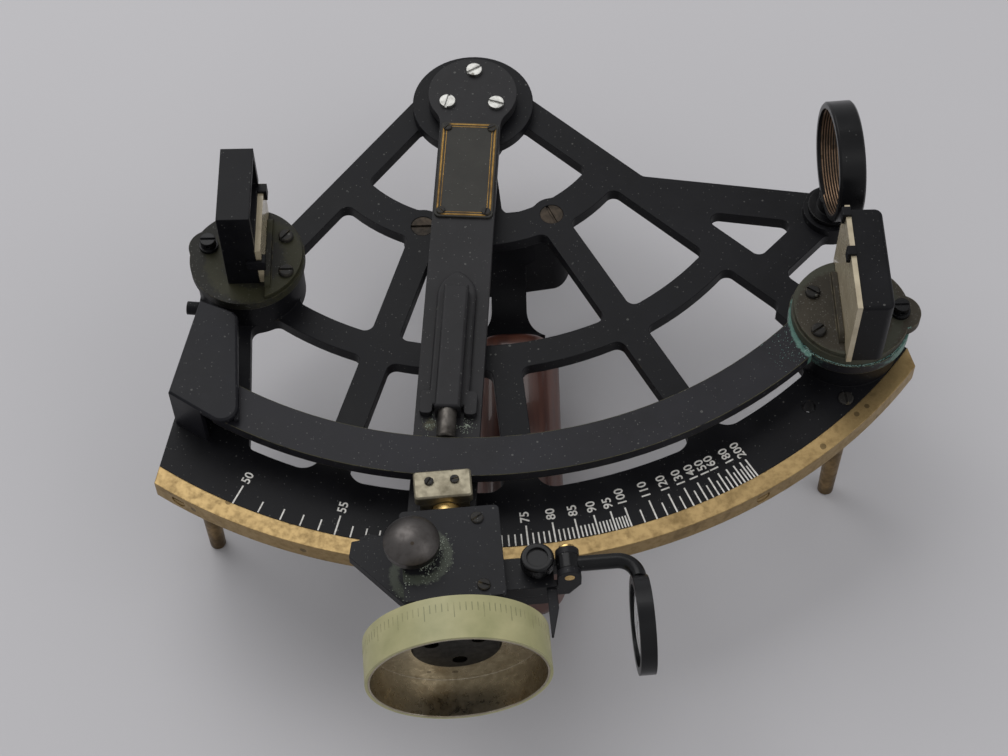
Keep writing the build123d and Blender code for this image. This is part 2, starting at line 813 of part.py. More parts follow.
with BuildPart() as carriage_cover:
    with BuildSketch(drum_plane(cover_level)):
        add(outline(
            (carriage_left, carriage_rear), (carriage_right + cover_overhang, carriage_rear),
            (carriage_right + cover_overhang, carriage_front), (carriage_left, carriage_front),
        ))
    extrude(amount=cover_thickness)
    fillet(carriage_cover.edges().filter_by(Axis.Z), 1.5)
    add(round_piece(knob_seat.offset(-cover_thickness - 1), knob_stem_radius + running_gap, 5),
        mode=Mode.SUBTRACT)
save(carriage_cover.part, "carriage_cover")

# Keeper that hooks under the rim
with BuildPart() as carriage_keeper:
    with BuildSketch(drum_plane(skirt_level - keeper_thickness)):
        add(outline(
            (carriage_left, carriage_rear), (carriage_right, carriage_rear),
            (carriage_right, carriage_front + 6), (carriage_left, carriage_front + 6),
        ))
    extrude(amount=keeper_thickness)
    with BuildSketch(level_plane(skirt_level - keeper_thickness)):
        Circle(rim_radius - keeper_reach)
    extrude(amount=keeper_thickness, mode=Mode.SUBTRACT)
save(carriage_keeper.part, "carriage_keeper")

# Reading index that lies over the scale from under the wing
with BuildPart() as reading_index:
    with BuildSketch(drum_plane(rim_proud + free_gap)):
        add(outline(
            (index_tab_x - index_tab_width / 2, -15), (index_tab_x - index_tab_width / 2, index_tab_end - 1),
            (index_tab_x, index_tab_end), (index_tab_x + index_tab_width / 2, index_tab_end - 1),
            (index_tab_x + index_tab_width / 2, -15),
        ))
    extrude(amount=wing_level - rim_proud - free_gap)
save(reading_index.part, "reading_index")

with BuildPart(drum_axis_plane(0, bush_start, screw_level)) as screw_bush:
    Cylinder(bush_radius, bush_length, align=on_seat)
    with Locations((0, 0, bush_length)):
        Cylinder(bush_flange_radius, bush_flange_thickness, align=on_seat)
    Cylinder(screw_radius + running_gap, bush_length + 5, align=on_seat, mode=Mode.SUBTRACT)
save(screw_bush.part, "screw_bush")

# Clamp knob: a domed head on a neck, its stem down through the cover
with BuildPart() as clamp_knob:
    with BuildSketch(side_plane(0, drum_point(knob_x, knob_y))) as knob_half:
        base = carriage_top + running_gap
        neck_top = base + knob_neck_height
        brim = neck_top + 3.2
        dome_height = base + knob_height - brim
        dome_radius = (knob_radius**2 + dome_height**2) / (2 * dome_height)
        dome_turn = asin(knob_radius / dome_radius) / 2
        dome_middle = (dome_radius * sin(dome_turn), base + knob_height - dome_radius * (1 - cos(dome_turn)))
        with BuildLine():
            Line((0, base - knob_stem_length), (knob_stem_radius, base - knob_stem_length))
            Line((knob_stem_radius, base - knob_stem_length), (knob_stem_radius, base))
            Line((knob_stem_radius, base), (knob_neck_radius, base))
            Line((knob_neck_radius, base), (knob_neck_radius, neck_top))
            Line((knob_neck_radius, neck_top), (knob_radius - 1, neck_top))
            Line((knob_radius - 1, neck_top), (knob_radius, neck_top + 1))
            Line((knob_radius, neck_top + 1), (knob_radius, brim))
            ThreePointArc((knob_radius, brim), dome_middle, (0, base + knob_height))
            Line((0, base + knob_height), (0, base - knob_stem_length))
        make_face()
    knob_place = drum_point(knob_x, knob_y)
    revolve(axis=Axis((knob_place[0], knob_place[1], 0), (0, 0, 1)))
save(clamp_knob.part, "clamp_knob")

# Contact shoe in front of the block, and the pale cap screwed on it
with BuildPart() as contact_shoe:
    with BuildSketch(drum_plane(shoe_level)):
        add(outline(
            (-shoe_width / 2, shoe_rear), (shoe_width / 2, shoe_rear),
            (shoe_width / 2, shoe_nose - 1), (2, shoe_nose), (-2, shoe_nose), (-shoe_width / 2,
            shoe_nose - 1),
        ))
    extrude(amount=shoe_cap_level - shoe_level)
save(contact_shoe.part, "contact_shoe")

with BuildPart() as contact_cap:
    with BuildSketch(drum_plane(shoe_cap_level)):
        with Locations(((shoe_cap_left + shoe_cap_right) / 2, (shoe_rear + shoe_cap_nose) / 2)):
            RectangleRounded(shoe_cap_right - shoe_cap_left, shoe_cap_nose - shoe_rear, 1.2)
    extrude(amount=shoe_cap_thickness)
    chamfer(contact_cap.faces().sort_by(Axis.Z)[-1].edges(), 0.5)
save(contact_cap.part, "contact_cap")

# Micrometer screw with its drum: a brass cup, a scale sleeve round it and a hub disc inside
drum_back = drum_rear - drum_back_thickness
micrometer_screw = round_piece(
    drum_axis_plane(0, screw_tail, screw_level), screw_radius, screw_tail - drum_back + 1.0,
)
save(micrometer_screw, "micrometer_screw")

with BuildPart(drum_axis_plane(0, drum_rear, screw_level)) as drum:
    Cylinder(drum_radius - scale_wall - seat_gap, drum_length, align=on_seat)
    with Locations((0, 0, drum_back_thickness)):
        Cylinder(drum_radius - scale_wall - drum_wall, drum_length, align=on_seat, mode=Mode.SUBTRACT)
    Cylinder(drum_boss_radius, drum_boss_length, align=under_seat)
    Cylinder(screw_radius + seat_gap, 3 * drum_length, mode=Mode.SUBTRACT)
save(drum.part, "drum")

drum_scale = round_piece(
    drum_axis_plane(0, drum_rear, screw_level), drum_radius, drum_length, drum_radius - scale_wall,
)
save(drum_scale, "drum_scale")

with BuildPart(drum_axis_plane(0, drum_back, screw_level)) as drum_hub:
    Cylinder(hub_disc_radius, hub_disc_thickness, align=on_seat)
    Cylinder(screw_radius + seat_gap, 1.1, align=on_seat, mode=Mode.SUBTRACT)
    with Locations((0, 0, hub_disc_thickness)):
        with PolarLocations(hub_hole_circle, 3, start_angle=35):
            Hole(hub_hole_radius, depth=hub_disc_thickness)
    chamfer(drum_hub.faces().sort_by(Axis.Y)[0].edges().sort_by(Edge.length)[-1], 0.5)
save(drum_hub.part, "drum_hub")

# Magnifier bracket: a plate clamped on the carriage's lug, ending in a fork
bracket_level = lug_level + lug_thickness
bracket_top = bracket_level + bracket_thickness
eye_front = fork_y - fork_eye_width / 2
eye_rear = fork_y + fork_eye_width / 2
ear_starts = (eye_rear + running_gap + fork_ear_thickness, eye_front - running_gap)
with BuildPart() as magnifier_bracket:
    with BuildSketch(drum_plane(bracket_level)):
        add(outline(
            (carriage_right + seat_gap, bracket_rear), (bracket_right, bracket_rear),
            (bracket_right, bracket_front), (carriage_right + seat_gap, bracket_front),
        ))
    extrude(amount=bracket_thickness)
    for start in ear_starts:
        with BuildSketch(drum_axis_plane(0, start, 0)):
            with Locations((fork_x, fork_level)):
                Circle(fork_ear_radius)
            add(outline(
                (bracket_right - 1, bracket_level), (fork_x, bracket_level), (fork_x + fork_ear_radius,
                bracket_top),
                (fork_x + fork_ear_radius, fork_level), (fork_x - fork_ear_radius, fork_level),
                (fork_x - fork_ear_radius, bracket_top), (bracket_right - 1, bracket_top),
            ))
        extrude(amount=fork_ear_thickness)
    pin_seat = drum_axis_plane(fork_x, bracket_rear + 5, fork_level)
    add(round_piece(pin_seat, fork_pin_radius + running_gap, 30), mode=Mode.SUBTRACT)
    add(round_piece(clamp_seat, clamp_shank_radius + running_gap, 20), mode=Mode.SUBTRACT)
save(magnifier_bracket.part, "magnifier_bracket")

with BuildPart(level_plane(clamp_head_level, drum_point(clamp_x, clamp_y))) as clamp_screw:
    Cylinder(clamp_head_radius, clamp_head_height, align=on_seat)
    fillet(clamp_screw.edges().filter_by(GeomType.CIRCLE).group_by(Axis.Z)[-1], 0.8)
    with Locations((0, 0, clamp_head_height)):
        Cylinder(clamp_dish_radius, 2 * clamp_dish_depth, mode=Mode.SUBTRACT)
    Cylinder(clamp_shank_radius, clamp_head_level - lug_level - 1.2, align=under_seat)
    Cylinder(clamp_shank_radius + 1.2, clamp_head_level - bracket_top - running_gap, align=under_seat)
save(clamp_screw.part, "clamp_screw")

with BuildPart(drum_axis_plane(fork_x, ear_starts[0], fork_level)) as magnifier_pin:
    Cylinder(fork_head_radius, fork_head_thickness, align=under_seat)
    Cylinder(fork_pin_radius, fork_eye_width + 2 * fork_ear_thickness + 2 * running_gap, align=on_seat)
save(magnifier_pin.part, "magnifier_pin")

# Magnifier arm: an eye on the pin, a bent rod and the lens ring, turned as one
tube_turn = fork_y - magnifier_bend_radius
with BuildPart() as magnifier_arm:
    with BuildSketch(drum_axis_plane(0, eye_rear, 0)):
        with Locations((fork_x, fork_level)):
            Circle(fork_eye_radius)
    extrude(amount=fork_eye_width)
    with BuildLine(drum_plane(fork_level)):
        reach = Line((fork_x + 2.6, fork_y), (lens_x - magnifier_bend_radius, fork_y))
        TangentArc(reach @ 1, (lens_x, tube_turn), tangent=reach % 1)
    with BuildSketch(Plane(origin=reach @ 0, z_dir=reach % 0)):
        Circle(magnifier_tube_radius)
    sweep()
    turn = radians(drum_bearing)
    ring_place_world = drum_point(lens_x - lens_ring_width / 2, lens_y)
    ring_plane = Plane(
        origin=(ring_place_world[0], ring_place_world[1], limb_top + lens_level),
        x_dir=(0, 0, 1), z_dir=(cos(turn), sin(turn), 0),
    )
    add(round_piece(ring_plane, lens_ring_radius, lens_ring_width))
    add(round_piece(ring_plane, lens_ring_radius - lens_ring_wall, lens_ring_width), mode=Mode.SUBTRACT)
    add(round_piece(pin_seat, fork_pin_radius + running_gap, 30), mode=Mode.SUBTRACT)
save(magnifier_arm.part, "magnifier_arm")

with BuildPart() as magnifier_lens:
    lens_radius = lens_ring_radius - lens_ring_wall - seat_gap
    lens_plane = Plane(origin=ring_plane.origin, x_dir=(cos(turn), sin(turn), 0), z_dir=(sin(turn),
        -cos(turn), 0))
    with BuildSketch(lens_plane):
        middle = lens_ring_width / 2
        lens_curve = (lens_radius**2 + lens_bulge**2) / (2 * lens_bulge)
        lens_turn = asin(lens_radius / lens_curve) / 2
        lens_drop = lens_bulge - lens_curve * (1 - cos(lens_turn))
        with BuildLine():
            Line((middle - lens_edge / 2 - lens_bulge, 0), (middle + lens_edge / 2 + lens_bulge, 0))
            rim_line = Line((middle - lens_edge / 2, lens_radius), (middle + lens_edge / 2, lens_radius))
            for end, side in ((rim_line @ 1, 1), (rim_line @ 0, -1)):
                halfway = (middle + side * (lens_edge / 2 + lens_drop), lens_curve * sin(lens_turn))
                ThreePointArc(end, halfway, (middle + side * (lens_edge / 2 + lens_bulge), 0))
        make_face()
    revolve(axis=Axis(lens_plane.origin, (cos(turn), sin(turn), 0)))
save(magnifier_lens.part, "magnifier_lens")

# Pointer beside the drum's scale
with BuildPart() as drum_pointer:
    pointer_inner = drum_radius + pointer_tip_gap
    pointer_outer = pointer_inner + pointer_width
    with BuildSketch(drum_plane(screw_level - pointer_thickness / 2)):
        add(outline(
            (pointer_inner, bracket_front), (pointer_outer, bracket_front), (pointer_outer, pointer_shoulder),
            (pointer_inner + 0.6, pointer_tip), (pointer_inner, pointer_tip),
        ))
    extrude(amount=pointer_thickness)
save(drum_pointer.part, "drum_pointer")


# Mirrors: a round base with a pointed tail, a clamp plate in front of the glass and an
# adjusting screw in the tail, built facing +X about their own centre
def mirror_plane(place, level, facing):
    return Plane(origin=(place[0], place[1], limb_top + level), x_dir=(facing, 0, 0), z_dir=(0, 0, 1))


def mirror_base(place, level, facing, adjuster):
    """Round base with a rounded tail, bored for the adjusting screw."""
    with BuildPart(mirror_plane(place, level, facing)) as base:
        with BuildSketch(mirror_plane(place, level, facing)):
            Circle(mirror_base_radius)
            with Locations(adjuster):
                Circle(mirror_lobe_radius)
        extrude(amount=mirror_base_thickness)
        with Locations((adjuster[0], adjuster[1], mirror_base_thickness)):
            Hole(adjuster_radius + running_gap, depth=2.4)
    return base.part


def mirror_plate(place, level, facing, edge):
    """Clamp plate over the front part of the base, with an upright flange against the glass."""
    with BuildPart() as plate:
        with BuildSketch(mirror_plane(place, level, facing)):
            with Locations((edge, 0)):
                Rectangle(mirror_flange_thickness, mirror_flange_length, align=(Align.MIN, Align.CENTER))
        extrude(amount=mirror_flange_height)
        fillet(plate.edges().filter_by(Axis.X).group_by(Axis.Z)[-1], 3.2)
        with BuildSketch(mirror_plane(place, level, facing)):
            Circle(mirror_base_radius - 0.6)
            with Locations((edge, 0)):
                Rectangle(60, 60, align=(Align.MAX, Align.CENTER), mode=Mode.SUBTRACT)
        extrude(amount=mirror_plate_thickness)
    return plate.part


def adjusting_screw(place, level, facing, adjuster):
    """Capstan screw on a flange, standing in the tail of a mirror base."""
    with BuildPart(mirror_plane(place, level, facing)) as screw:
        with Locations((adjuster[0], adjuster[1], running_gap)):
            Cylinder(adjuster_flange_radius, adjuster_flange_height, align=on_seat)
            Cylinder(adjuster_head_radius, adjuster_head_height, align=on_seat)
            Cylinder(adjuster_radius, 2.3, align=under_seat)
            with Locations((0, 0, (adjuster_flange_height + adjuster_head_height) / 2)):
                Cylinder(0.7, 3 * adjuster_head_radius, rotation=(90, 0, 0), mode=Mode.SUBTRACT)
                Cylinder(0.7, 3 * adjuster_head_radius, rotation=(0, 90, 0), mode=Mode.SUBTRACT)
            with Locations((0, 0, adjuster_head_height)):
                Box(8, slot_width, 2 * slot_depth, mode=Mode.SUBTRACT)
    return screw.part


def top_clip(front, thickness, y, top):
    """Small hook over the top edge of a glass."""
    with Locations((front + seat_gap, y, top - 3.4)):
        Box(clip_thickness, 3.2, 3.4 + seat_gap + clip_thickness, align=(Align.MIN, Align.CENTER, Align.MIN))
    with Locations((front + seat_gap + clip_thickness, y, top + seat_gap)):
        Box(thickness + clip_thickness + seat_gap, 3.2, clip_thickness, align=(Align.MAX, Align.CENTER,
            Align.MIN))


# Horizon mirror, fixed on its pedestal: a low glass under an open window
horizon_top = horizon_seat_level + mirror_base_thickness
horizon_adjuster = (horizon_adjuster_x, horizon_adjuster_y)
horizon_glass_back = horizon_glass_front_x - horizon_glass_thickness
save(mirror_base(horizon_place, horizon_seat_level, 1, horizon_adjuster), "horizon_base")
save(mirror_plate(horizon_place, horizon_top, 1, horizon_glass_front_x + seat_gap), "horizon_plate")
with BuildPart() as horizon_frame:
    frame_back = horizon_frame_front - horizon_frame_depth
    frame_side = horizon_frame_middle - horizon_frame_width / 2
    with BuildSketch(mirror_plane(horizon_place, horizon_top, 1)):
        with Locations((frame_back, horizon_frame_middle)):
            Rectangle(horizon_frame_depth, horizon_frame_width, align=(Align.MIN, Align.CENTER))
    extrude(amount=horizon_frame_height)
    window_start = horizon_glass_height + 1.2
    with BuildSketch(mirror_plane(horizon_place, horizon_top + window_start, 1)):
        with Locations((frame_back, horizon_frame_middle)):
            Rectangle(30, horizon_frame_width - 2 * horizon_wall, align=(Align.CENTER, Align.CENTER))
    extrude(amount=horizon_frame_height - window_start - horizon_wall, mode=Mode.SUBTRACT)
    with BuildSketch(mirror_plane(horizon_place, horizon_top, 1)):
        with Locations((horizon_glass_back - seat_gap, horizon_frame_middle)):
            Rectangle(10, horizon_frame_width + 1, align=(Align.MIN, Align.CENTER))
    extrude(amount=horizon_glass_height + 1.2, mode=Mode.SUBTRACT)
save(horizon_frame.part, "horizon_frame")
with BuildPart() as horizon_glass:
    with BuildSketch(mirror_plane(horizon_place, horizon_top, 1)):
        with Locations((horizon_glass_front_x, horizon_frame_middle)):
            Rectangle(horizon_glass_thickness, horizon_frame_width - 1, align=(Align.MAX, Align.CENTER))
    extrude(amount=horizon_glass_height)
save(horizon_glass.part, "horizon_glass")
with BuildPart(mirror_plane(horizon_place, horizon_top, 1)) as horizon_clips:
    top_clip(horizon_glass_front_x, horizon_glass_thickness, frame_side + horizon_frame_width - 3,
        horizon_glass_height)
    with Locations((horizon_glass_front_x + seat_gap, frame_side - seat_gap - clip_thickness,
        horizon_glass_height - 8)):
        Box(clip_thickness, 3.4, 4, align=Align.MIN)
    with Locations((horizon_glass_back - 3, frame_side - seat_gap, horizon_glass_height - 8)):
        Box(horizon_glass_thickness + 3 + seat_gap + clip_thickness, clip_thickness, 4,
            align=(Align.MIN, Align.MAX, Align.MIN))
save(horizon_clips.part, "horizon_clips")
save(adjusting_screw(horizon_place, horizon_top, 1, horizon_adjuster), "horizon_adjuster")

# Index mirror, turned with the lever: a full-height glass in front of a closed hood
lever_top = lever_level + lever_thickness
index_top = lever_top + mirror_base_thickness
index_adjuster = (index_adjuster_x, index_adjuster_y)
index_glass_back = index_glass_front_x - index_glass_thickness
save(mirror_base(index_place, lever_top, -1, index_adjuster), "index_base")
save(mirror_plate(index_place, index_top, -1, index_glass_front_x + seat_gap), "index_plate")
with BuildPart() as index_glass:
    with BuildSketch(mirror_plane(index_place, index_top, -1)):
        with Locations((index_glass_front_x, 0)):
            Rectangle(index_glass_thickness, index_hood_width + 1.0, align=(Align.MAX, Align.CENTER))
    extrude(amount=index_hood_height + 1)
save(index_glass.part, "index_glass")
with BuildPart() as index_hood:
    with BuildSketch(mirror_plane(index_place, index_top, -1)):
        with Locations((index_glass_back - seat_gap, 0)):
            Rectangle(index_hood_depth, index_hood_width, align=(Align.MAX, Align.CENTER))
    extrude(amount=index_hood_height)
    hood_back = index_hood.edges().filter_by(Axis.Z).group_by(Axis.X)[-1]
    fillet(hood_back, index_hood_corner)
    fillet(index_hood.faces().sort_by(Axis.Z)[-1].edges().group_by(Axis.X)[-1], 1.2)
    with BuildSketch(mirror_plane(index_place, index_top, -1)):
        with Locations((index_glass_back, 0)):
            Rectangle(index_hood_depth - index_hood_wall, index_hood_width - 2 * index_hood_wall,
                      align=(Align.MAX, Align.CENTER))
    extrude(amount=index_hood_height - index_hood_wall, mode=Mode.SUBTRACT)
save(index_hood.part, "index_hood")
with BuildPart(mirror_plane(index_place, index_top, -1)) as index_clips:
    for y in (-index_hood_width / 2 + 2.5, -1.5):
        top_clip(index_glass_front_x, index_glass_thickness, y, index_hood_height + 1)
save(index_clips.part, "index_clips")
save(adjusting_screw(index_place, index_top, -1, index_adjuster), "index_adjuster")

# Guard over the lever's free end: a top plate, an outer wall that stands on the frame and a lip
with BuildPart() as lever_guard:
    far_corner = on_circle(lever_inner_radius - 15.822755, -43.871642)
    bend_corner = on_circle(lever_inner_radius - 19.200327, -38.659808)
    near_corner = on_circle(lever_inner_radius - 18.728505, -37.653955)
    tip_corner = on_circle(lever_outer_radius + 3.148696, -27.326574)
    limb_corner = on_circle(lever_outer_radius + 2.181742, -37.139643)
    plate_level = guard_top_level - guard_plate_thickness
    with BuildSketch(level_plane(plate_level)):
        add(outline(far_corner, bend_corner, near_corner, tip_corner, limb_corner))
    extrude(amount=guard_plate_thickness)
    corner = lever_guard.edges().filter_by(Axis.Z).sort_by(Axis.Y)[0]
    fillet(corner, guard_corner_fillet)
    chamfer(lever_guard.faces().sort_by(Axis.Z)[-1].edges(), 0.6)
    end_run = hypot(tip_corner[0] - limb_corner[0], tip_corner[1] - limb_corner[1])
    end_way = ((tip_corner[0] - limb_corner[0]) / end_run, (tip_corner[1] - limb_corner[1]) / end_run)
    wall_end = (limb_corner[0] + 12.3 * end_way[0], limb_corner[1] + 12.3 * end_way[1])
    wall_turn = (guard_wall_thickness * -end_way[1], guard_wall_thickness * end_way[0])
    with BuildSketch(level_plane(0)):
        add(outline(
            far_corner, limb_corner, wall_end, (wall_end[0] + wall_turn[0], wall_end[1] + wall_turn[1]),
            (limb_corner[0] + wall_turn[0] + 1.2, limb_corner[1] + wall_turn[1]), (far_corner[0] + 1.8,
            far_corner[1]),
        ))
    extrude(amount=plate_level)
    with BuildSketch(level_plane(guard_lip_level)):
        add(outline(near_corner, (tip_corner[0] - 0.3, tip_corner[1] + 6), (tip_corner[0] - 1.7,
        tip_corner[1] + 6),
                    (near_corner[0] - 1.4, near_corner[1])))
    extrude(amount=plate_level - guard_lip_level)
save(lever_guard.part, "lever_guard")

# Stud in the frame's edge beside the guard
edge_start = (horizon_x - 16.5, horizon_y - 4.5)
edge_run = hypot(left_cut[0][0] - edge_start[0], left_cut[0][1] - edge_start[1])
edge_way = ((left_cut[0][0] - edge_start[0]) / edge_run, (left_cut[0][1] - edge_start[1]) / edge_run)
stud_plane = Plane(
    origin=(
        edge_start[0] + 4 * edge_way[0] + seat_gap * edge_way[1],
        edge_start[1] + 4 * edge_way[1] - seat_gap * edge_way[0],
        limb_top - rib_thickness / 2,
    ),
    x_dir=(0, 0, 1), z_dir=(edge_way[1], -edge_way[0], 0),
)
save(round_piece(stud_plane, guard_stud_radius, 4.0), "guard_stud")

# Telescope ring on its stem, held by a nut under the boss
with BuildPart() as telescope_ring:
    ring_turn = radians(sight_bearing)
    half = ring_width / 2
    bore_plane = Plane(
        origin=(ring_x - half * cos(ring_turn), ring_y - half * sin(ring_turn), limb_top + sight_level),
        x_dir=(0, 0, 1), z_dir=(cos(ring_turn), sin(ring_turn), 0),
    )
    add(round_piece(bore_plane, ring_radius, ring_width))
    chamfer(telescope_ring.edges().filter_by(GeomType.CIRCLE), 0.6)
    add(round_piece(level_plane(ring_boss_rise, ring_place), ring_foot_radius, ring_foot_height))
    add(round_piece(level_plane(ring_boss_rise, ring_place), ring_stem_radius,
        sight_level - ring_boss_rise - ring_radius + 1.5))
    add(round_piece(level_plane(-rib_thickness - ring_nut_height - 0.8, ring_place), ring_stud_radius,
                    ring_boss_rise + rib_thickness + ring_nut_height + 1.0))
    add(round_piece(bore_plane, ring_radius - ring_wall, ring_width), mode=Mode.SUBTRACT)
save(telescope_ring.part, "telescope_ring")

save(round_piece(level_plane(-rib_thickness - ring_nut_height, ring_place), ring_nut_radius, ring_nut_height,
                 ring_stud_radius + seat_gap), "ring_nut")

# Handle: a yoke under the inner rib with a swan-neck tang, a wooden grip and a post to the middle spoke
with BuildPart() as handle_grip:
    with BuildSketch(Plane(origin=(grip_x, grip_rear, limb_top + grip_level - grip_depth / 2),
        x_dir=(1, 0, 0), z_dir=(0, -1, 0))):
        RectangleRounded(grip_width, grip_depth, grip_corner)
    extrude(amount=grip_rear - grip_front)
    fillet(handle_grip.faces().filter_by(Axis.Y).edges(), grip_end_round)
save(handle_grip.part, "handle_grip")

with BuildPart() as handle_bracket:
    with BuildSketch(level_plane(-rib_thickness - yoke_thickness)):
        with Locations(*handle_seats):
            Circle(yoke_radius)
        add(bar_face(handle_seats[0], handle_seats[1], 2 * yoke_radius - 2))
    extrude(amount=yoke_thickness)
    with BuildSketch(Plane(origin=(tang_x, 0, limb_top), x_dir=(0, -1, 0), z_dir=(-1, 0, 0))) as tang_side:
        seat = -grip_rear
        yoke_y = inner_rib_radius + 0.8
        with BuildLine():
            top_line = Line((yoke_y - tang_thickness / 2 + 1, -rib_thickness - 0.5),
                (yoke_y + tang_thickness / 2 - 1, -rib_thickness - 0.5))
            drop = Line(top_line @ 1, (yoke_y + tang_thickness / 2 - 1, -rib_thickness - yoke_thickness - 6))
            inner_bend = TangentArc(drop @ 1, (seat, grip_level - 7), tangent=(drop % 1))
            face_line = Line(inner_bend @ 1, (seat, grip_level - grip_depth + 7))
            outer_bend = ThreePointArc(face_line @ 1, (seat - 19, grip_level - grip_depth + 13),
                (yoke_y - tang_thickness / 2 + 1, -rib_thickness - yoke_thickness - 8))
            Line(outer_bend @ 1, top_line @ 0)
        make_face()
    extrude(amount=tang_flare_width, both=True)
    with BuildSketch(Plane.XY, mode=Mode.PRIVATE) as bracket_plan:
        with BuildLine():
            half_neck = tang_neck_width / 2
            half_flare = tang_flare_width / 2
            right_side = Line((tang_x + half_neck, -30), (tang_x + half_neck, grip_rear + tang_flare_length))
            right_flare = TangentArc(right_side @ 1, (tang_x + half_flare, grip_rear), tangent=(0, -1))
            left_side = Line((tang_x - half_neck, -30), (tang_x - half_neck, grip_rear + tang_flare_length))
            left_flare = TangentArc(left_side @ 1, (tang_x - half_flare, grip_rear), tangent=(0, -1))
            Line(right_side @ 0, left_side @ 0)
            Line(right_flare @ 1, left_flare @ 1)
        make_face()
        add(bar_face(handle_seats[0], handle_seats[1], 2 * yoke_radius))
        with Locations(*handle_seats):
            Circle(yoke_radius)
    with BuildSketch(level_plane(-rib_thickness - yoke_thickness - 50)):
        add(bracket_plan.sketch)
    extrude(amount=60, mode=Mode.INTERSECT)
    for place in handle_seats:
        add(round_piece(level_plane(-rib_thickness - yoke_thickness + 1, place),
            handle_screw_radius + seat_gap, 8), mode=Mode.SUBTRACT)
save(handle_bracket.part, "handle_bracket")

with BuildPart() as handle_post:
    post_place = (-post_y * sin(radians(middle_spoke_bearing)), post_y)
    with BuildSketch(level_plane(-rib_thickness, post_place, middle_spoke_bearing)):
        RectangleRounded(spoke_width - 0.4, post_length + 8, 3)
    extrude(amount=-2.4)
    with BuildSketch(level_plane(-rib_thickness, post_place)):
        RectangleRounded(post_width, post_length, 3)
    with BuildSketch(level_plane(grip_level, post_place)):
        RectangleRounded(post_width, post_length + 4, 3)
    loft()
save(handle_post.part, "handle_post")

with BuildPart() as handle_screws:
    for place, slot_turn in zip(handle_seats, (0, -66)):
        seat = level_plane(-handle_screw_recess, place)
        add(slotted_screw(seat, handle_screw_head_radius, handle_screw_head_height, handle_screw_radius,
                          rib_thickness + yoke_thickness - 1.2 - handle_screw_recess, slot_turn))
save(handle_screws.part, "handle_screws")
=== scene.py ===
from math import asin, atan2, cos, degrees, hypot, pi, radians, sin

import random

import bmesh
import bpy
from mathutils import Matrix, Vector
from mathutils.bvhtree import BVHTree


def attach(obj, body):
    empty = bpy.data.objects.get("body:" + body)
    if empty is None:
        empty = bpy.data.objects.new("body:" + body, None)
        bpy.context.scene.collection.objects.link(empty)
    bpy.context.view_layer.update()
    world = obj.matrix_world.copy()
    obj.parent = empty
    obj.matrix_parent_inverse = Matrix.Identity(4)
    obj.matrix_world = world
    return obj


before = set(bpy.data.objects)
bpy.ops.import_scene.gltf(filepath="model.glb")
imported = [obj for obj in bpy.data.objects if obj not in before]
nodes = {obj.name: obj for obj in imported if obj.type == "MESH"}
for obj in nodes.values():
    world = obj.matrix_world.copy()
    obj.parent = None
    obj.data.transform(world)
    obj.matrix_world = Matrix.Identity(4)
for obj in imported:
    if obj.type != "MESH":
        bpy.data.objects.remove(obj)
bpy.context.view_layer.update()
MM = 0.001


# Frame, index arm and lever: brass castings and bars under satin black paint.
# The paint is thin on the edges, where yellow metal shows, and dust lies all
# over it as fine pale specks.
def wire(tree, kind, feeds=None, **settings):
    """Adds a node; each feed is a plain value or the socket that drives it."""
    made = tree.nodes.new(kind)
    for name, value in settings.items():
        setattr(made, name, value)
    for socket, value in (feeds or {}).items():
        if isinstance(value, bpy.types.NodeSocket):
            tree.links.new(value, made.inputs[socket])
        else:
            made.inputs[socket].default_value = value
    return made


def ramp(tree, factor, low, high, to_low=0.0, to_high=1.0):
    """A mask that climbs from one level to another between two inputs."""
    spread = wire(tree, "ShaderNodeMapRange", {0: factor, 1: low, 2: high, 3: to_low, 4: to_high})
    return spread.outputs[0]


def blend_colours(tree, mask, first, second):
    """Mixes two colours by a mask."""
    mixed = wire(tree, "ShaderNodeMix", {0: mask, 6: first, 7: second}, data_type="RGBA")
    return mixed.outputs[2]


def multiply(tree, first, second):
    return wire(tree, "ShaderNodeMath", {0: first, 1: second}, operation="MULTIPLY").outputs[0]


def rgb(red, green, blue):
    return (red, green, blue, 1.0)


def new_effect(name, inputs, outputs):
    """An empty node group with named float inputs, object coordinates ready."""
    tree = bpy.data.node_groups.new(name, "ShaderNodeTree")
    for label, value in inputs.items():
        socket = tree.interface.new_socket(name=label, in_out="INPUT", socket_type="NodeSocketFloat")
        socket.default_value = value
    for label, kind in outputs.items():
        tree.interface.new_socket(name=label, in_out="OUTPUT", socket_type="NodeSocket" + kind)
    given = tree.nodes.new("NodeGroupInput")
    result = tree.nodes.new("NodeGroupOutput")
    place = tree.nodes.new("ShaderNodeTexCoord").outputs["Object"]
    return tree, given.outputs, result.inputs, place


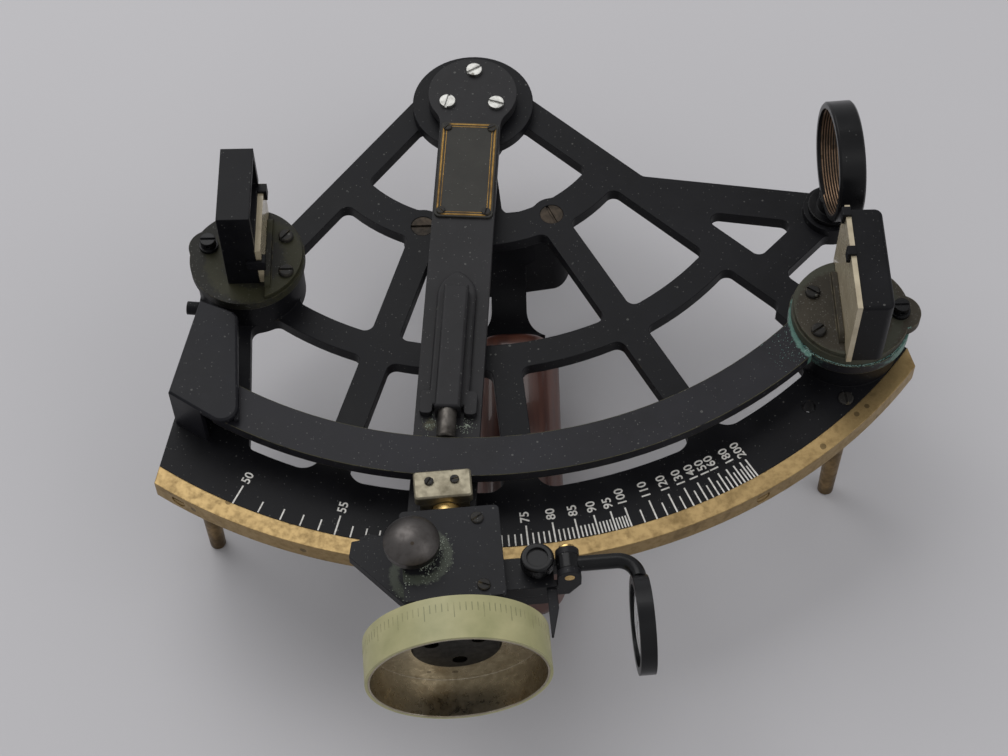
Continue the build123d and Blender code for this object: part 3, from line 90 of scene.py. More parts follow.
def edge_wear_effect():
    """Rounded-edge normal, and a broken-up mask along the worn edges."""
    tree, given, result, place = new_effect(
        "edge wear", {"Width": 0.0006, "Breakup": 400.0, "Amount": 0.5}, {"Mask": "Float", "Normal": "Vector"})
    rounded = wire(tree, "ShaderNodeBevel", {"Radius": given["Width"]}, samples=6)
    flat = wire(tree, "ShaderNodeNewGeometry")
    match = wire(tree, "ShaderNodeVectorMath", {0: rounded.outputs[0], 1: flat.outputs["Normal"]},
                 operation="DOT_PRODUCT")
    edge = ramp(tree, match.outputs["Value"], 0.99, 0.8)
    patchy = wire(tree, "ShaderNodeTexNoise", {"Vector": place, "Scale": given["Breakup"], "Detail": 4.0})
    threshold = wire(tree, "ShaderNodeMath", {0: 1.0, 1: given["Amount"]}, operation="SUBTRACT").outputs[0]
    top = wire(tree, "ShaderNodeMath", {0: threshold, 1: 0.12}, operation="ADD").outputs[0]
    bare = ramp(tree, patchy.outputs[0], threshold, top)
    tree.links.new(multiply(tree, edge, bare), result["Mask"])
    tree.links.new(rounded.outputs[0], result["Normal"])
    return tree


def speck_effect():
    """Scattered round specks, each of its own size."""
    tree, given, result, place = new_effect(
        "specks", {"Scale": 500.0, "Share": 0.1}, {"Mask": "Float"})
    cells = wire(tree, "ShaderNodeTexVoronoi", {"Vector": place, "Scale": given["Scale"]})
    pick = wire(tree, "ShaderNodeSeparateColor", {0: cells.outputs["Color"]})
    chosen = wire(tree, "ShaderNodeMath", {0: pick.outputs[0], 1: given["Share"]}, operation="LESS_THAN")
    size = ramp(tree, pick.outputs[1], 0.0, 1.0, 0.06, 0.3)
    inside = wire(tree, "ShaderNodeMath", {0: cells.outputs["Distance"], 1: size}, operation="LESS_THAN")
    tree.links.new(multiply(tree, chosen.outputs[0], inside.outputs[0]), result["Mask"])
    return tree


edge_wear = edge_wear_effect()
specks = speck_effect()


def new_finish(name, **settings):
    """A material with a Principled shader, its fixed values set on its own sockets."""
    material = bpy.data.materials.new(name)
    material.use_nodes = True
    tree = material.node_tree
    shader = tree.nodes["Principled BSDF"]
    for socket, value in settings.items():
        shader.inputs[socket.replace("_", " ")].default_value = value
    place = tree.nodes.new("ShaderNodeTexCoord").outputs["Object"]
    return material, tree, shader, place


def effect(tree, group, **values):
    """Places a shared effect in a material with its own values."""
    made = tree.nodes.new("ShaderNodeGroup")
    made.node_tree = group
    for socket, value in values.items():
        made.inputs[socket].default_value = value
    return made.outputs


def noise(tree, place, scale, detail=3.0, roughness=0.55, stretch=None):
    """Noise at a scale per metre, drawn out along an axis where a stretch is given."""
    if stretch:
        place = wire(tree, "ShaderNodeMapping", {"Vector": place, "Scale": stretch}).outputs[0]
    made = wire(tree, "ShaderNodeTexNoise",
                {"Vector": place, "Scale": scale, "Detail": detail, "Roughness": roughness})
    return made.outputs[0]


def raise_surface(tree, shader, height, distance, strength=1.0, normal=None):
    feeds = {"Height": height, "Distance": distance, "Strength": strength}
    if normal is not None:
        feeds["Normal"] = normal
    bump = wire(tree, "ShaderNodeBump", feeds)
    tree.links.new(bump.outputs[0], shader.inputs["Normal"])


def green_crust_effect():
    """Green corrosion that breaks up away from a ring about an upright axis."""
    tree, given, result, place = new_effect(
        "green crust", {"Axis X": 0.0, "Axis Y": 0.0, "Ring Radius": 0.02, "Band": 0.003}, {"Mask": "Float"})
    axis = wire(tree, "ShaderNodeCombineXYZ", {0: given["Axis X"], 1: given["Axis Y"]}).outputs[0]
    flat = wire(tree, "ShaderNodeVectorMath", {0: place, 1: (1.0, 1.0, 0.0)}, operation="MULTIPLY").outputs[0]
    away = wire(tree, "ShaderNodeVectorMath", {0: flat, 1: axis}, operation="DISTANCE").outputs["Value"]
    miss = wire(tree, "ShaderNodeMath", {0: away, 1: given["Ring Radius"]}, operation="SUBTRACT").outputs[0]
    spread = wire(tree, "ShaderNodeMath", {0: miss}, operation="ABSOLUTE").outputs[0]
    share = wire(tree, "ShaderNodeMath", {0: spread, 1: given["Band"]}, operation="DIVIDE").outputs[0]
    near = ramp(tree, share, 1.0, 0.0)
    patches = wire(tree, "ShaderNodeTexNoise", {"Vector": place, "Scale": 700.0, "Detail": 5.0, "Roughness": 0.7})
    total = wire(tree, "ShaderNodeMath", {0: near, 1: patches.outputs[0]}, operation="ADD").outputs[0]
    tree.links.new(ramp(tree, total, 1.0, 1.25), result["Mask"])
    return tree


green_crust = green_crust_effect()


def black_paint(name, paint, bare, roughness, wear, dust_share, shine=0.16, crust=None, crust_colour=(0, 0, 0)):
    """Satin black paint over brass: worn edges, fine dust, and green crust round one ring."""
    material, tree, shader, place = new_finish(name, Specular_IOR_Level=shine)
    edges = effect(tree, edge_wear, Width=0.0004, Breakup=350.0, Amount=wear)
    dust = effect(tree, specks, Scale=1500.0, Share=dust_share)
    fluff = effect(tree, specks, Scale=650.0, Share=0.25 * dust_share)
    cloud = noise(tree, place, 45.0)
    haze = noise(tree, place, 160.0, detail=5.0, roughness=0.7)
    fine = noise(tree, place, 1600.0, detail=2.0)
    lighter = rgb(*[1.7 * c + 0.002 for c in paint])
    shade = blend_colours(tree, ramp(tree, cloud, 0.35, 0.7), rgb(*paint), lighter)
    hazed = blend_colours(tree, ramp(tree, haze, 0.5, 0.8, 0.0, 0.6), shade, lighter)
    dusty = blend_colours(tree, multiply(tree, dust["Mask"], 0.25), hazed, rgb(0.3, 0.3, 0.28))
    flecked = blend_colours(tree, multiply(tree, fluff["Mask"], 0.16), dusty, rgb(0.4, 0.4, 0.37))
    worn = blend_colours(tree, edges["Mask"], flecked, rgb(*bare))
    if crust:
        axis_x, axis_y, radius, band = crust
        crusted = effect(tree, green_crust, **{
            "Axis X": axis_x * MM, "Axis Y": axis_y * MM, "Ring Radius": radius * MM, "Band": band * MM})
        worn = blend_colours(tree, multiply(tree, crusted["Mask"], 0.75), worn, rgb(*crust_colour))
    tree.links.new(worn, shader.inputs["Base Color"])
    tree.links.new(multiply(tree, edges["Mask"], 0.6), shader.inputs["Metallic"])
    tree.links.new(ramp(tree, cloud, 0.3, 0.75, roughness - 0.07, roughness + 0.09), shader.inputs["Roughness"])
    raise_surface(tree, shader, fine, 0.00003, 0.5, edges["Normal"])
    return material


def dress(material, *names):
    """Gives CAD nodes their finish."""
    for name in names:
        slots = nodes[name].data.materials
        slots.clear()
        slots.append(material)


casting_paint = black_paint("casting_paint", (0.0045, 0.0045, 0.0055), (0.1, 0.08, 0.045), 0.42, 0.34, 0.12, 0.12)
dress(casting_paint, "frame", "hub_cap", "handle_bracket", "handle_post", "guard_stud", "ring_nut",
      "carriage_keeper")

arm_paint = black_paint("arm_paint", (0.013, 0.0125, 0.0135), (0.1, 0.085, 0.05), 0.44, 0.3, 0.16, 0.16,
                        crust=(-14.5, -133.5, 0.0, 4.5), crust_colour=(0.09, 0.085, 0.05))
dress(arm_paint, "index_arm", "plunger_housing", "arm_journal", "pivot_nut")

carriage_paint = black_paint("carriage_paint", (0.009, 0.009, 0.0105), (0.13, 0.11, 0.06), 0.44, 0.36, 0.2, 0.16,
                             crust=(-17.2, -183.6, 8.2, 3.6), crust_colour=(0.075, 0.085, 0.065))
dress(carriage_paint, "carriage_body", "carriage_cover", "reading_index", "magnifier_bracket", "drum_pointer")

lever_paint = black_paint("lever_paint", (0.0105, 0.0102, 0.0125), (0.15, 0.14, 0.07), 0.4, 0.66, 0.16, 0.16,
                          crust=(118.3, -101.6, 18.6, 2.2), crust_colour=(0.13, 0.25, 0.21))
dress(lever_paint, "lever", "lever_journal", "lever_nut")

guard_paint = black_paint("guard_paint", (0.0065, 0.0065, 0.0085), (0.1, 0.09, 0.06), 0.45, 0.3, 0.1)
dress(guard_paint, "lever_guard")

mirror_paint = black_paint("mirror_paint", (0.0035, 0.0035, 0.0045), (0.07, 0.065, 0.05), 0.42, 0.3, 0.1, 0.13)
dress(mirror_paint, "horizon_frame", "index_hood", "horizon_clips", "index_clips")

disc_paint = black_paint("disc_paint", (0.0125, 0.012, 0.0095), (0.12, 0.1, 0.05), 0.5, 0.5, 0.5, 0.16,
                         crust=(-71.0, -73.5, 13.0, 8.0), crust_colour=(0.036, 0.035, 0.018))
dress(disc_paint, "horizon_base", "horizon_plate")

bronzed_disc = black_paint("bronzed_disc", (0.032, 0.027, 0.019), (0.16, 0.13, 0.07), 0.5, 0.6, 0.9, 0.16,
                           crust=(116.0, -101.0, 17.0, 5.0), crust_colour=(0.055, 0.058, 0.042))
dress(bronzed_disc, "index_base", "index_plate")

gloss_black = black_paint("gloss_black", (0.0025, 0.0025, 0.003), (0.08, 0.07, 0.05), 0.27, 0.25, 0.04, 0.22)
dress(gloss_black, "magnifier_arm", "telescope_ring", "horizon_adjuster", "index_adjuster", "clamp_screw")


# Scale rim: a brass strip let into the limb's edge and held by screws through its
# outer face. Its brass is bright with drifts of brown tarnish on every face.
def aged_brass(name, bright, brown, roughness, tarnish, scratches=(1.0, 1.0, 1.0)):
    """Brass with brown tarnish in drifts, fine scratches and dark spots."""
    material, tree, shader, place = new_finish(name, Metallic=1.0)
    edges = effect(tree, edge_wear, Width=0.0004, Breakup=300.0, Amount=0.8)
    spots = effect(tree, specks, Scale=260.0, Share=0.12)
    drift = noise(tree, place, 60.0, detail=6.0, roughness=0.65)
    mottle = noise(tree, place, 500.0, detail=3.0)
    scratch = noise(tree, place, 900.0, detail=2.0, stretch=scratches)
    dulled = blend_colours(tree, ramp(tree, drift, 0.62 - tarnish, 0.78 - tarnish), rgb(*bright), rgb(*brown))
    mottled = blend_colours(tree, ramp(tree, mottle, 0.45, 0.75, 0.0, 0.5), dulled, rgb(*brown))
    spotted = blend_colours(tree, multiply(tree, spots["Mask"], 0.6), mottled, rgb(0.05, 0.035, 0.02))
    tree.links.new(spotted, shader.inputs["Base Color"])
    tree.links.new(ramp(tree, mottle, 0.3, 0.7, roughness - 0.08, roughness + 0.1), shader.inputs["Roughness"])
    raise_surface(tree, shader, scratch, 0.00002, 0.6, edges["Normal"])
    return material


rim_brass = aged_brass("rim_brass", (0.37, 0.26, 0.12), (0.2, 0.135, 0.06), 0.46, 0.08)
dress(rim_brass, "scale_rim", "rim_screws")

leg_bronze = aged_brass("leg_bronze", (0.3, 0.2, 0.09), (0.12, 0.08, 0.04), 0.42, 0.25)
dress(leg_bronze, "rear_leg", "left_leg", "right_leg")

screw_brass = aged_brass("screw_brass", (0.8, 0.55, 0.22), (0.4, 0.26, 0.1), 0.3, 0.05)
dress(screw_brass, "micrometer_screw", "screw_bush", "magnifier_pin")

drum_bronze = aged_brass("drum_bronze", (0.46, 0.41, 0.32), (0.26, 0.21, 0.14), 0.3, 0.12, (1.0, 0.1, 1.0))
dress(drum_bronze, "drum")

hub_bronze = aged_brass("hub_bronze", (0.025, 0.022, 0.018), (0.012, 0.011, 0.01), 0.4, 0.2)
dress(hub_bronze, "drum_hub")

# Small steel pieces: polished screws in the arm's head and dull ones elsewhere.
steel = aged_brass("bright_steel", (0.46, 0.455, 0.43), (0.25, 0.245, 0.23), 0.38, 0.06)
dress(steel, "pivot_screws")
dark_steel = aged_brass("dark_steel", (0.12, 0.11, 0.1), (0.05, 0.045, 0.04), 0.45, 0.1)
dress(dark_steel, "spring_plunger")
bracket_screw_finish = aged_brass("bracket_screw", (0.045, 0.036, 0.028), (0.02, 0.018, 0.016), 0.42, 0.2)
dress(bracket_screw_finish, "handle_screws")
knob_steel = aged_brass("knob_steel", (0.1, 0.092, 0.088), (0.055, 0.05, 0.047), 0.42, 0.05)
dress(knob_steel, "clamp_knob")
cap_metal = aged_brass("cap_metal", (0.3, 0.27, 0.2), (0.15, 0.13, 0.09), 0.5, 0.1)
dress(cap_metal, "contact_cap", "contact_shoe")


# Drum scale: a pale sleeve, once white, gone green and cream.
def sleeve_finish():
    material, tree, shader, place = new_finish("drum_sleeve", Roughness=0.45)
    drift = noise(tree, place, 90.0, detail=4.0)
    tone = blend_colours(tree, ramp(tree, drift, 0.35, 0.7), rgb(0.41, 0.38, 0.2), rgb(0.3, 0.29, 0.14))
    tree.links.new(tone, shader.inputs["Base Color"])
    raise_surface(tree, shader, noise(tree, place, 1500.0), 0.00002, 0.4)
    return material


dress(sleeve_finish(), "drum_scale")


# Handle: a turned and shaped grip of dark red-brown wood.
def varnished_wood():
    material, tree, shader, place = new_finish("grip_wood", Coat_Weight=0.3)
    grain = noise(tree, place, 220.0, detail=6.0, stretch=(1.0, 0.08, 1.0))
    tone = blend_colours(tree, ramp(tree, grain, 0.35, 0.68), rgb(0.045, 0.013, 0.009), rgb(0.11, 0.035, 0.02))
    tree.links.new(tone, shader.inputs["Base Color"])
    tree.links.new(ramp(tree, grain, 0.3, 0.7, 0.36, 0.5), shader.inputs["Roughness"])
    raise_surface(tree, shader, grain, 0.0001, 0.4)
    return material


dress(varnished_wood(), "handle_grip")


# Mirrors and lens: silvered glass with ground edges, and a polished lens.
def mirror_glass():
    material, tree, shader, place = new_finish("mirror_glass", Metallic=0.0, Coat_Weight=0.6)
    drift = noise(tree, place, 160.0)
    tone = blend_colours(tree, ramp(tree, drift, 0.35, 0.7), rgb(0.5, 0.43, 0.3), rgb(0.36, 0.3, 0.2))
    tree.links.new(tone, shader.inputs["Base Color"])
    tree.links.new(ramp(tree, drift, 0.3, 0.7, 0.2, 0.4), shader.inputs["Roughness"])
    return material


dress(mirror_glass(), "horizon_glass", "index_glass")


def lens_glass():
    material, tree, shader, place = new_finish(
        "lens_glass", Transmission_Weight=1.0, IOR=1.5, Base_Color=rgb(0.95, 0.97, 0.95))
    tree.links.new(ramp(tree, noise(tree, place, 300.0), 0.3, 0.8, 0.0, 0.06), shader.inputs["Roughness"])
    return material


dress(lens_glass(), "magnifier_lens")


# Nameplate: a bare black plate.
plate_paint = black_paint("plate_paint", (0.022, 0.021, 0.018), (0.3, 0.2, 0.08), 0.4, 0.3, 0.12)
dress(plate_paint, "nameplate")


# Scale marks: fine cuts in the limb's top face filled with white paint. Their
# bearings follow the arcsine law of the lever, so they crowd together as the height
# climbs from 50 to 200.
def new_tree(name, sizes):
    """A geometry tree on a seed mesh, with named sizes."""
    tree = bpy.data.node_groups.new(name, "GeometryNodeTree")
    tree.interface.new_socket(name="Geometry", in_out="INPUT", socket_type="NodeSocketGeometry")
    for label, value in sizes.items():
        socket = tree.interface.new_socket(name=label, in_out="INPUT", socket_type="NodeSocketFloat")
        socket.default_value = value
    tree.interface.new_socket(name="Geometry", in_out="OUTPUT", socket_type="NodeSocketGeometry")
    return tree, tree.nodes.new("NodeGroupInput").outputs, tree.nodes.new("NodeGroupOutput").inputs


def finish_tree(tree, geometry, material, result):
    """Makes instances real and gives them their material."""
    real = wire(tree, "GeometryNodeRealizeInstances", {0: geometry}).outputs[0]
    dressed = wire(tree, "GeometryNodeSetMaterial", {"Geometry": real, "Material": material}).outputs[0]
    tree.links.new(dressed, result[0])
    return tree


def sum_of(tree, operation, first, second=0.0):
    return wire(tree, "ShaderNodeMath", {0: first, 1: second}, operation=operation).outputs[0]


def settle(name, mesh, body):
    """Links a finished mesh as a piece that rides on a body."""
    piece = bpy.data.objects.new(name, mesh)
    bpy.context.scene.collection.objects.link(piece)
    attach(piece, body)
    return piece


def grow(name, tree, body, points, turns=(), **sizes):
    """Runs a geometry tree on a list of points and keeps a plain mesh."""
    seeds = bpy.data.meshes.new(name + "_seeds")
    seeds.from_pydata([tuple(point) for point in points], [], [])
    if turns:
        seeds.attributes.new("turn", "FLOAT", "POINT").data.foreach_set("value", [radians(t) for t in turns])
    grown = bpy.data.objects.new(name + "_seeds", seeds)
    bpy.context.scene.collection.objects.link(grown)
    modifier = grown.modifiers.new("grow", "NODES")
    modifier.node_group = tree
    for socket in tree.interface.items_tree:
        if socket.in_out == "INPUT" and socket.name in sizes:
            modifier[socket.identifier] = sizes[socket.name]
    mesh = bpy.data.meshes.new_from_object(grown.evaluated_get(bpy.context.evaluated_depsgraph_get()))
    mesh.name = name
    bpy.data.objects.remove(grown)
    return settle(name, mesh, body)


def mark_paint():
    material, tree, shader, place = new_finish("mark_paint", Roughness=0.6)
    grime = ramp(tree, noise(tree, place, 900.0), 0.4, 0.7)
    tree.links.new(blend_colours(tree, grime, rgb(0.72, 0.7, 0.66), rgb(0.5, 0.48, 0.44)),
                   shader.inputs["Base Color"])
    return material


white_marks = mark_paint()
limb_top = 57.0 * MM
mark_rise = 0.03 * MM
zero_bearing = 43.77
law_height = 46.93


def height_bearing(height):
    """Bearing of a height's mark about the pivot, in degrees."""
    return zero_bearing - degrees(asin(law_height / height))


def scale_tick_tree():
    """A bar on the limb at each seed's own bearing."""
    tree, given, result = new_tree("scale_ticks", {"Outer Radius": 0.172, "Length": 0.004, "Width": 0.00045})
    bearing = wire(tree, "GeometryNodeInputNamedAttribute", {"Name": "turn"}, data_type="FLOAT").outputs[0]
    middle = sum_of(tree, "SUBTRACT", given["Outer Radius"], sum_of(tree, "MULTIPLY", given["Length"], 0.5))
    across = sum_of(tree, "MULTIPLY", middle, sum_of(tree, "SINE", bearing))
    along = sum_of(tree, "MULTIPLY", sum_of(tree, "MULTIPLY", middle, sum_of(tree, "COSINE", bearing)), -1.0)
    spot = wire(tree, "ShaderNodeCombineXYZ", {0: across, 1: along, 2: limb_top}).outputs[0]
    moved = wire(tree, "GeometryNodeSetPosition", {"Geometry": given["Geometry"], "Position": spot}).outputs[0]
    size = wire(tree, "ShaderNodeCombineXYZ", {0: given["Width"], 1: given["Length"], 2: 2 * mark_rise}).outputs[0]
    bar = wire(tree, "GeometryNodeMeshCube", {"Size": size}).outputs[0]
    turn = wire(tree, "ShaderNodeCombineXYZ", {2: bearing}).outputs[0]
    bars = wire(tree, "GeometryNodeInstanceOnPoints", {"Points": moved, "Instance": bar, "Rotation": turn})
    return finish_tree(tree, bars.outputs[0], white_marks, result)


scale_ticks = scale_tick_tree()
for name, heights, outer, length, width in (
        ("unit_ticks", [height for height in range(50, 101) if height % 5], 172.0, 3.9, 0.45),
        ("numbered_ticks", [*range(50, 101, 5), *range(110, 201, 10)], 172.4, 7.0, 0.5),
        ("half_ticks", range(105, 200, 10), 172.2, 4.7, 0.45)):
    bearings = [height_bearing(height) for height in heights]
    grow(name, scale_ticks, "frame_body", [(0, 0, 0)] * len(bearings), bearings,
         **{"Outer Radius": outer * MM, "Length": length * MM, "Width": width * MM})


# Scale numbers: engraved beside their ticks and read towards the pivot.
number_radius = 164.4
number_size = 4.0
cut_numbers = [50, 55, 75, 80, 85, 90, 95, 100, 110, 120, 130, 140, 150, 160, 180, 200]


def number_mesh(number):
    """One number as a mesh, centred on its tick's line."""
    curve = bpy.data.curves.new("number", "FONT")
    curve.body = str(number)
    curve.size = number_size * MM
    curve.extrude = mark_rise
    curve.offset = 0.06 * MM
    curve.resolution_u = 3
    curve.align_x = "LEFT"
    curve.align_y = "CENTER"
    text = bpy.data.objects.new("number", curve)
    bpy.context.scene.collection.objects.link(text)
    mesh = bpy.data.meshes.new_from_object(text.evaluated_get(bpy.context.evaluated_depsgraph_get()))
    bpy.data.objects.remove(text)
    bearing = radians(height_bearing(number))
    inward = Vector((-sin(bearing), cos(bearing), 0))
    spot = -inward * number_radius * MM
    mesh.transform(Matrix.Translation((spot.x, spot.y, limb_top)) @ Matrix.Rotation(atan2(inward.y, inward.x), 4, "Z"))
    return mesh


numbers = bmesh.new()
for number in cut_numbers:
    numbers.from_mesh(number_mesh(number))
numbers_mesh = bpy.data.meshes.new("scale_numbers")
numbers.to_mesh(numbers_mesh)
numbers.free()
numbers_mesh.materials.append(white_marks)
settle("scale_numbers", numbers_mesh, "frame_body")


# Small screws: slotted brass and steel heads that hold the plates, covers and cap.
def screw_head_tree(name, material):
    """A chamfered, slotted head on every seed, turned by the seed's own angle."""
    tree, given, result = new_tree(name, {"Head Radius": 0.002, "Height Share": 0.5, "Slot Share": 0.28})
    height = given["Height Share"]
    half = sum_of(tree, "MULTIPLY", height, 0.5)
    blank = wire(tree, "GeometryNodeMeshCylinder",
                 {"Vertices": 32, "Side Segments": 4, "Radius": 1.0, "Depth": height}).outputs[0]
    spot = wire(tree, "GeometryNodeInputPosition").outputs[0]
    level = wire(tree, "ShaderNodeSeparateXYZ", {0: spot}).outputs[2]
    shoulder = sum_of(tree, "MULTIPLY", height, 0.25)
    rise = ramp(tree, level, shoulder, half, 1.0, 0.86)
    shrink = wire(tree, "ShaderNodeCombineXYZ", {0: rise, 1: rise, 2: 1.0}).outputs[0]
    drawn_in = wire(tree, "ShaderNodeVectorMath", {0: spot, 1: shrink}, operation="MULTIPLY").outputs[0]
    tapered = wire(tree, "GeometryNodeSetPosition", {"Geometry": blank, "Position": drawn_in}).outputs[0]
    parts = wire(tree, "ShaderNodeSeparateXYZ", {0: spot}).outputs
    one_side = sum_of(tree, "MAXIMUM", parts[1], sum_of(tree, "MULTIPLY", given["Slot Share"], 0.5))
    kept_spot = wire(tree, "ShaderNodeCombineXYZ", {0: parts[0], 1: one_side, 2: parts[2]}).outputs[0]
    half_head = wire(tree, "GeometryNodeSetPosition", {"Geometry": tapered, "Position": kept_spot}).outputs[0]
    other_half = wire(tree, "GeometryNodeTransform", {"Geometry": half_head, "Rotation": (0.0, 0.0, pi)}).outputs[0]
    slot_floor = wire(tree, "GeometryNodeMeshCylinder",
                      {"Vertices": 32, "Radius": 0.97, "Depth": half}).outputs[0]
    drop = wire(tree, "ShaderNodeCombineXYZ", {2: sum_of(tree, "MULTIPLY", height, -0.25)}).outputs[0]
    lowered = wire(tree, "GeometryNodeTransform", {"Geometry": slot_floor, "Translation": drop}).outputs[0]
    head = wire(tree, "GeometryNodeJoinGeometry")
    for part in (half_head, other_half, lowered):
        tree.links.new(part, head.inputs[0])
    turn = wire(tree, "GeometryNodeInputNamedAttribute", {"Name": "turn"}, data_type="FLOAT").outputs[0]
    heads = wire(tree, "GeometryNodeInstanceOnPoints", {
        "Points": given["Geometry"], "Instance": head.outputs[0], "Scale": given["Head Radius"],
        "Rotation": wire(tree, "ShaderNodeCombineXYZ", {2: turn}).outputs[0]})
    return finish_tree(tree, heads.outputs[0], material, result)


def surface_of(*names):
    """A search tree over CAD nodes, for seating small pieces on them."""
    points, faces = [], []
    for name in names:
        start = len(points)
        mesh = nodes[name].data
        points += [vertex.co.copy() for vertex in mesh.vertices]
        faces += [[start + index for index in polygon.vertices] for polygon in mesh.polygons]
    return BVHTree.FromPolygons(points, faces)


def seat(surface, x, y, sunk=0.0):
    """The highest point of a surface at a place given in millimetres."""
    hit = surface.ray_cast(Vector((x * MM, y * MM, 0.3)), Vector((0, 0, -1)))[0]
    return Vector((x * MM, y * MM, hit.z - sunk)) if hit else None


def from_drum(x, y):
    """Drum coordinates to the shared frame, in millimetres."""
    turn = radians(3.9)
    return (-9.9 + x * cos(turn) - y * sin(turn), -162.0 + x * sin(turn) + y * cos(turn))


def from_arm(x, y):
    """Arm coordinates to the shared frame, in millimetres."""
    turn = radians(-3.9)
    return (x * cos(turn) - y * sin(turn), x * sin(turn) + y * cos(turn))


small_black = black_paint("small_black", (0.014, 0.013, 0.012), (0.16, 0.13, 0.08), 0.4, 0.5, 0.2)
dark_heads = screw_head_tree("dark_screw_heads", small_black)


def screw_heads(name, body, support, places, turns, radius, height=1.0):
    surface = surface_of(*support)
    points = [seat(surface, x, y, -0.4 * height * MM) for x, y in places]
    grow(name, dark_heads, body, points, turns, **{
        "Head Radius": radius * MM, "Height Share": height / radius, "Slot Share": 0.28})


screw_heads("nameplate_screws", "arm", ["nameplate"],
            [from_arm(x, -34 + y) for x in (-7.5, 7.5) for y in (-17.7, 17.7)], (130, 40, 75, 20), 1.5, 0.7)
screw_heads("cover_screws", "arm", ["carriage_cover"], [from_drum(9.1, -10.1), from_drum(9.4, -32.4)],
            (35, -20), 1.9, 0.8)
screw_heads("cap_screws", "feed", ["contact_cap"], [(-14.4, -159.2), (-6.7, -158.6)], (60, 15), 1.4, 0.7)
screw_heads("horizon_plate_screws", "frame_body", ["horizon_plate"], [(-61.0, -65.0), (-60.5, -78.8)],
            (50, 0), 2.4, 1.6)
screw_heads("index_plate_screws", "lever_body", ["index_plate"], [(106.8, -93.6), (107.3, -108.1)],
            (-35, 35), 2.4, 1.4)
screw_heads("limb_screw", "frame_body", ["frame"], [(116.7, -121.5)], (95,), 2.4, 0.9)


# Nameplate border: two gilt lines etched round the bare plate.
def border_tree(material):
    """A flat rounded line round a rectangle."""
    tree, given, result = new_tree("plate_border", {"Width": 0.018, "Length": 0.038, "Corner": 0.002,
                                                    "Line": 0.0006})
    outline = wire(tree, "GeometryNodeCurvePrimitiveQuadrilateral",
                   {"Width": given["Width"], "Height": given["Length"]}).outputs[0]
    rounded = wire(tree, "GeometryNodeFilletCurve", {"Curve": outline, "Radius": given["Corner"]})
    for socket in rounded.inputs:
        if socket.name == "Count":
            socket.default_value = 6
    if "Mode" in rounded.inputs:
        rounded.inputs["Mode"].default_value = "Poly"
    else:
        rounded.mode = "POLY"
    strip = wire(tree, "GeometryNodeCurvePrimitiveQuadrilateral", {"Width": given["Line"], "Height": 0.00012})
    line = wire(tree, "GeometryNodeCurveToMesh", {"Curve": rounded.outputs[0], "Profile Curve": strip.outputs[0]})
    on_point = wire(tree, "GeometryNodeInstanceOnPoints", {
        "Points": given["Geometry"], "Instance": line.outputs[0], "Rotation": wire(
            tree, "ShaderNodeCombineXYZ", {2: radians(-3.9)}).outputs[0]})
    return finish_tree(tree, on_point.outputs[0], material, result)


gilt = aged_brass("gilt_line", (0.48, 0.29, 0.09), (0.22, 0.13, 0.05), 0.45, 0.12)
plate_border = border_tree(gilt)
plate_middle = seat(surface_of("nameplate"), *from_arm(0, -34))
grow("nameplate_border", plate_border, "arm", [plate_middle],
     **{"Width": 17.4 * MM, "Length": 38.2 * MM, "Corner": 2.2 * MM, "Line": 0.75 * MM})
grow("nameplate_inner_line", plate_border, "arm", [plate_middle],
     **{"Width": 15.4 * MM, "Length": 36.2 * MM, "Corner": 1.6 * MM, "Line": 0.3 * MM})


# Telescope ring's thread: a turned ridge.
def thread_tree(name, material):
    """A ridge that winds along an axis, laid along X from the seed."""
    tree, given, result = new_tree(name, {"Thread Radius": 0.017, "Pitch": 0.0008, "Turns": 8.0,
                                          "Ridge": 0.0004, "Bearing": 0.0})
    length = sum_of(tree, "MULTIPLY", given["Pitch"], given["Turns"])
    helix = wire(tree, "GeometryNodeCurveSpiral", {
        "Resolution": 72, "Rotations": given["Turns"], "Start Radius": given["Thread Radius"],
        "End Radius": given["Thread Radius"], "Height": length}).outputs[0]
    ridge = wire(tree, "GeometryNodeCurvePrimitiveCircle", {"Resolution": 4, "Radius": given["Ridge"]}).outputs[0]
    wound = wire(tree, "GeometryNodeCurveToMesh", {
        "Curve": helix, "Profile Curve": ridge, "Fill Caps": True}).outputs[0]
    flat = wire(tree, "ShaderNodeCombineXYZ", {1: pi / 2, 2: given["Bearing"]}).outputs[0]
    laid = wire(tree, "GeometryNodeInstanceOnPoints", {
        "Points": given["Geometry"], "Instance": wound, "Rotation": flat}).outputs[0]
    return finish_tree(tree, laid, material, result)


copper_thread = aged_brass("copper_thread", (0.26, 0.17, 0.11), (0.09, 0.07, 0.05), 0.4, 0.12)
ring_thread = thread_tree("ring_thread", copper_thread)
sight_turn = radians(4.0)
ring_middle = Vector((119.3, -48.2, 85.0)) * MM
thread_length = 7.0
start = ring_middle - 0.5 * thread_length * MM * Vector((cos(sight_turn), sin(sight_turn), 0))
grow("ring_thread", ring_thread, "frame_body", [start], **{
    "Thread Radius": 17.35 * MM, "Pitch": 0.875 * MM, "Turns": 8.0, "Ridge": 0.34 * MM, "Bearing": sight_turn})


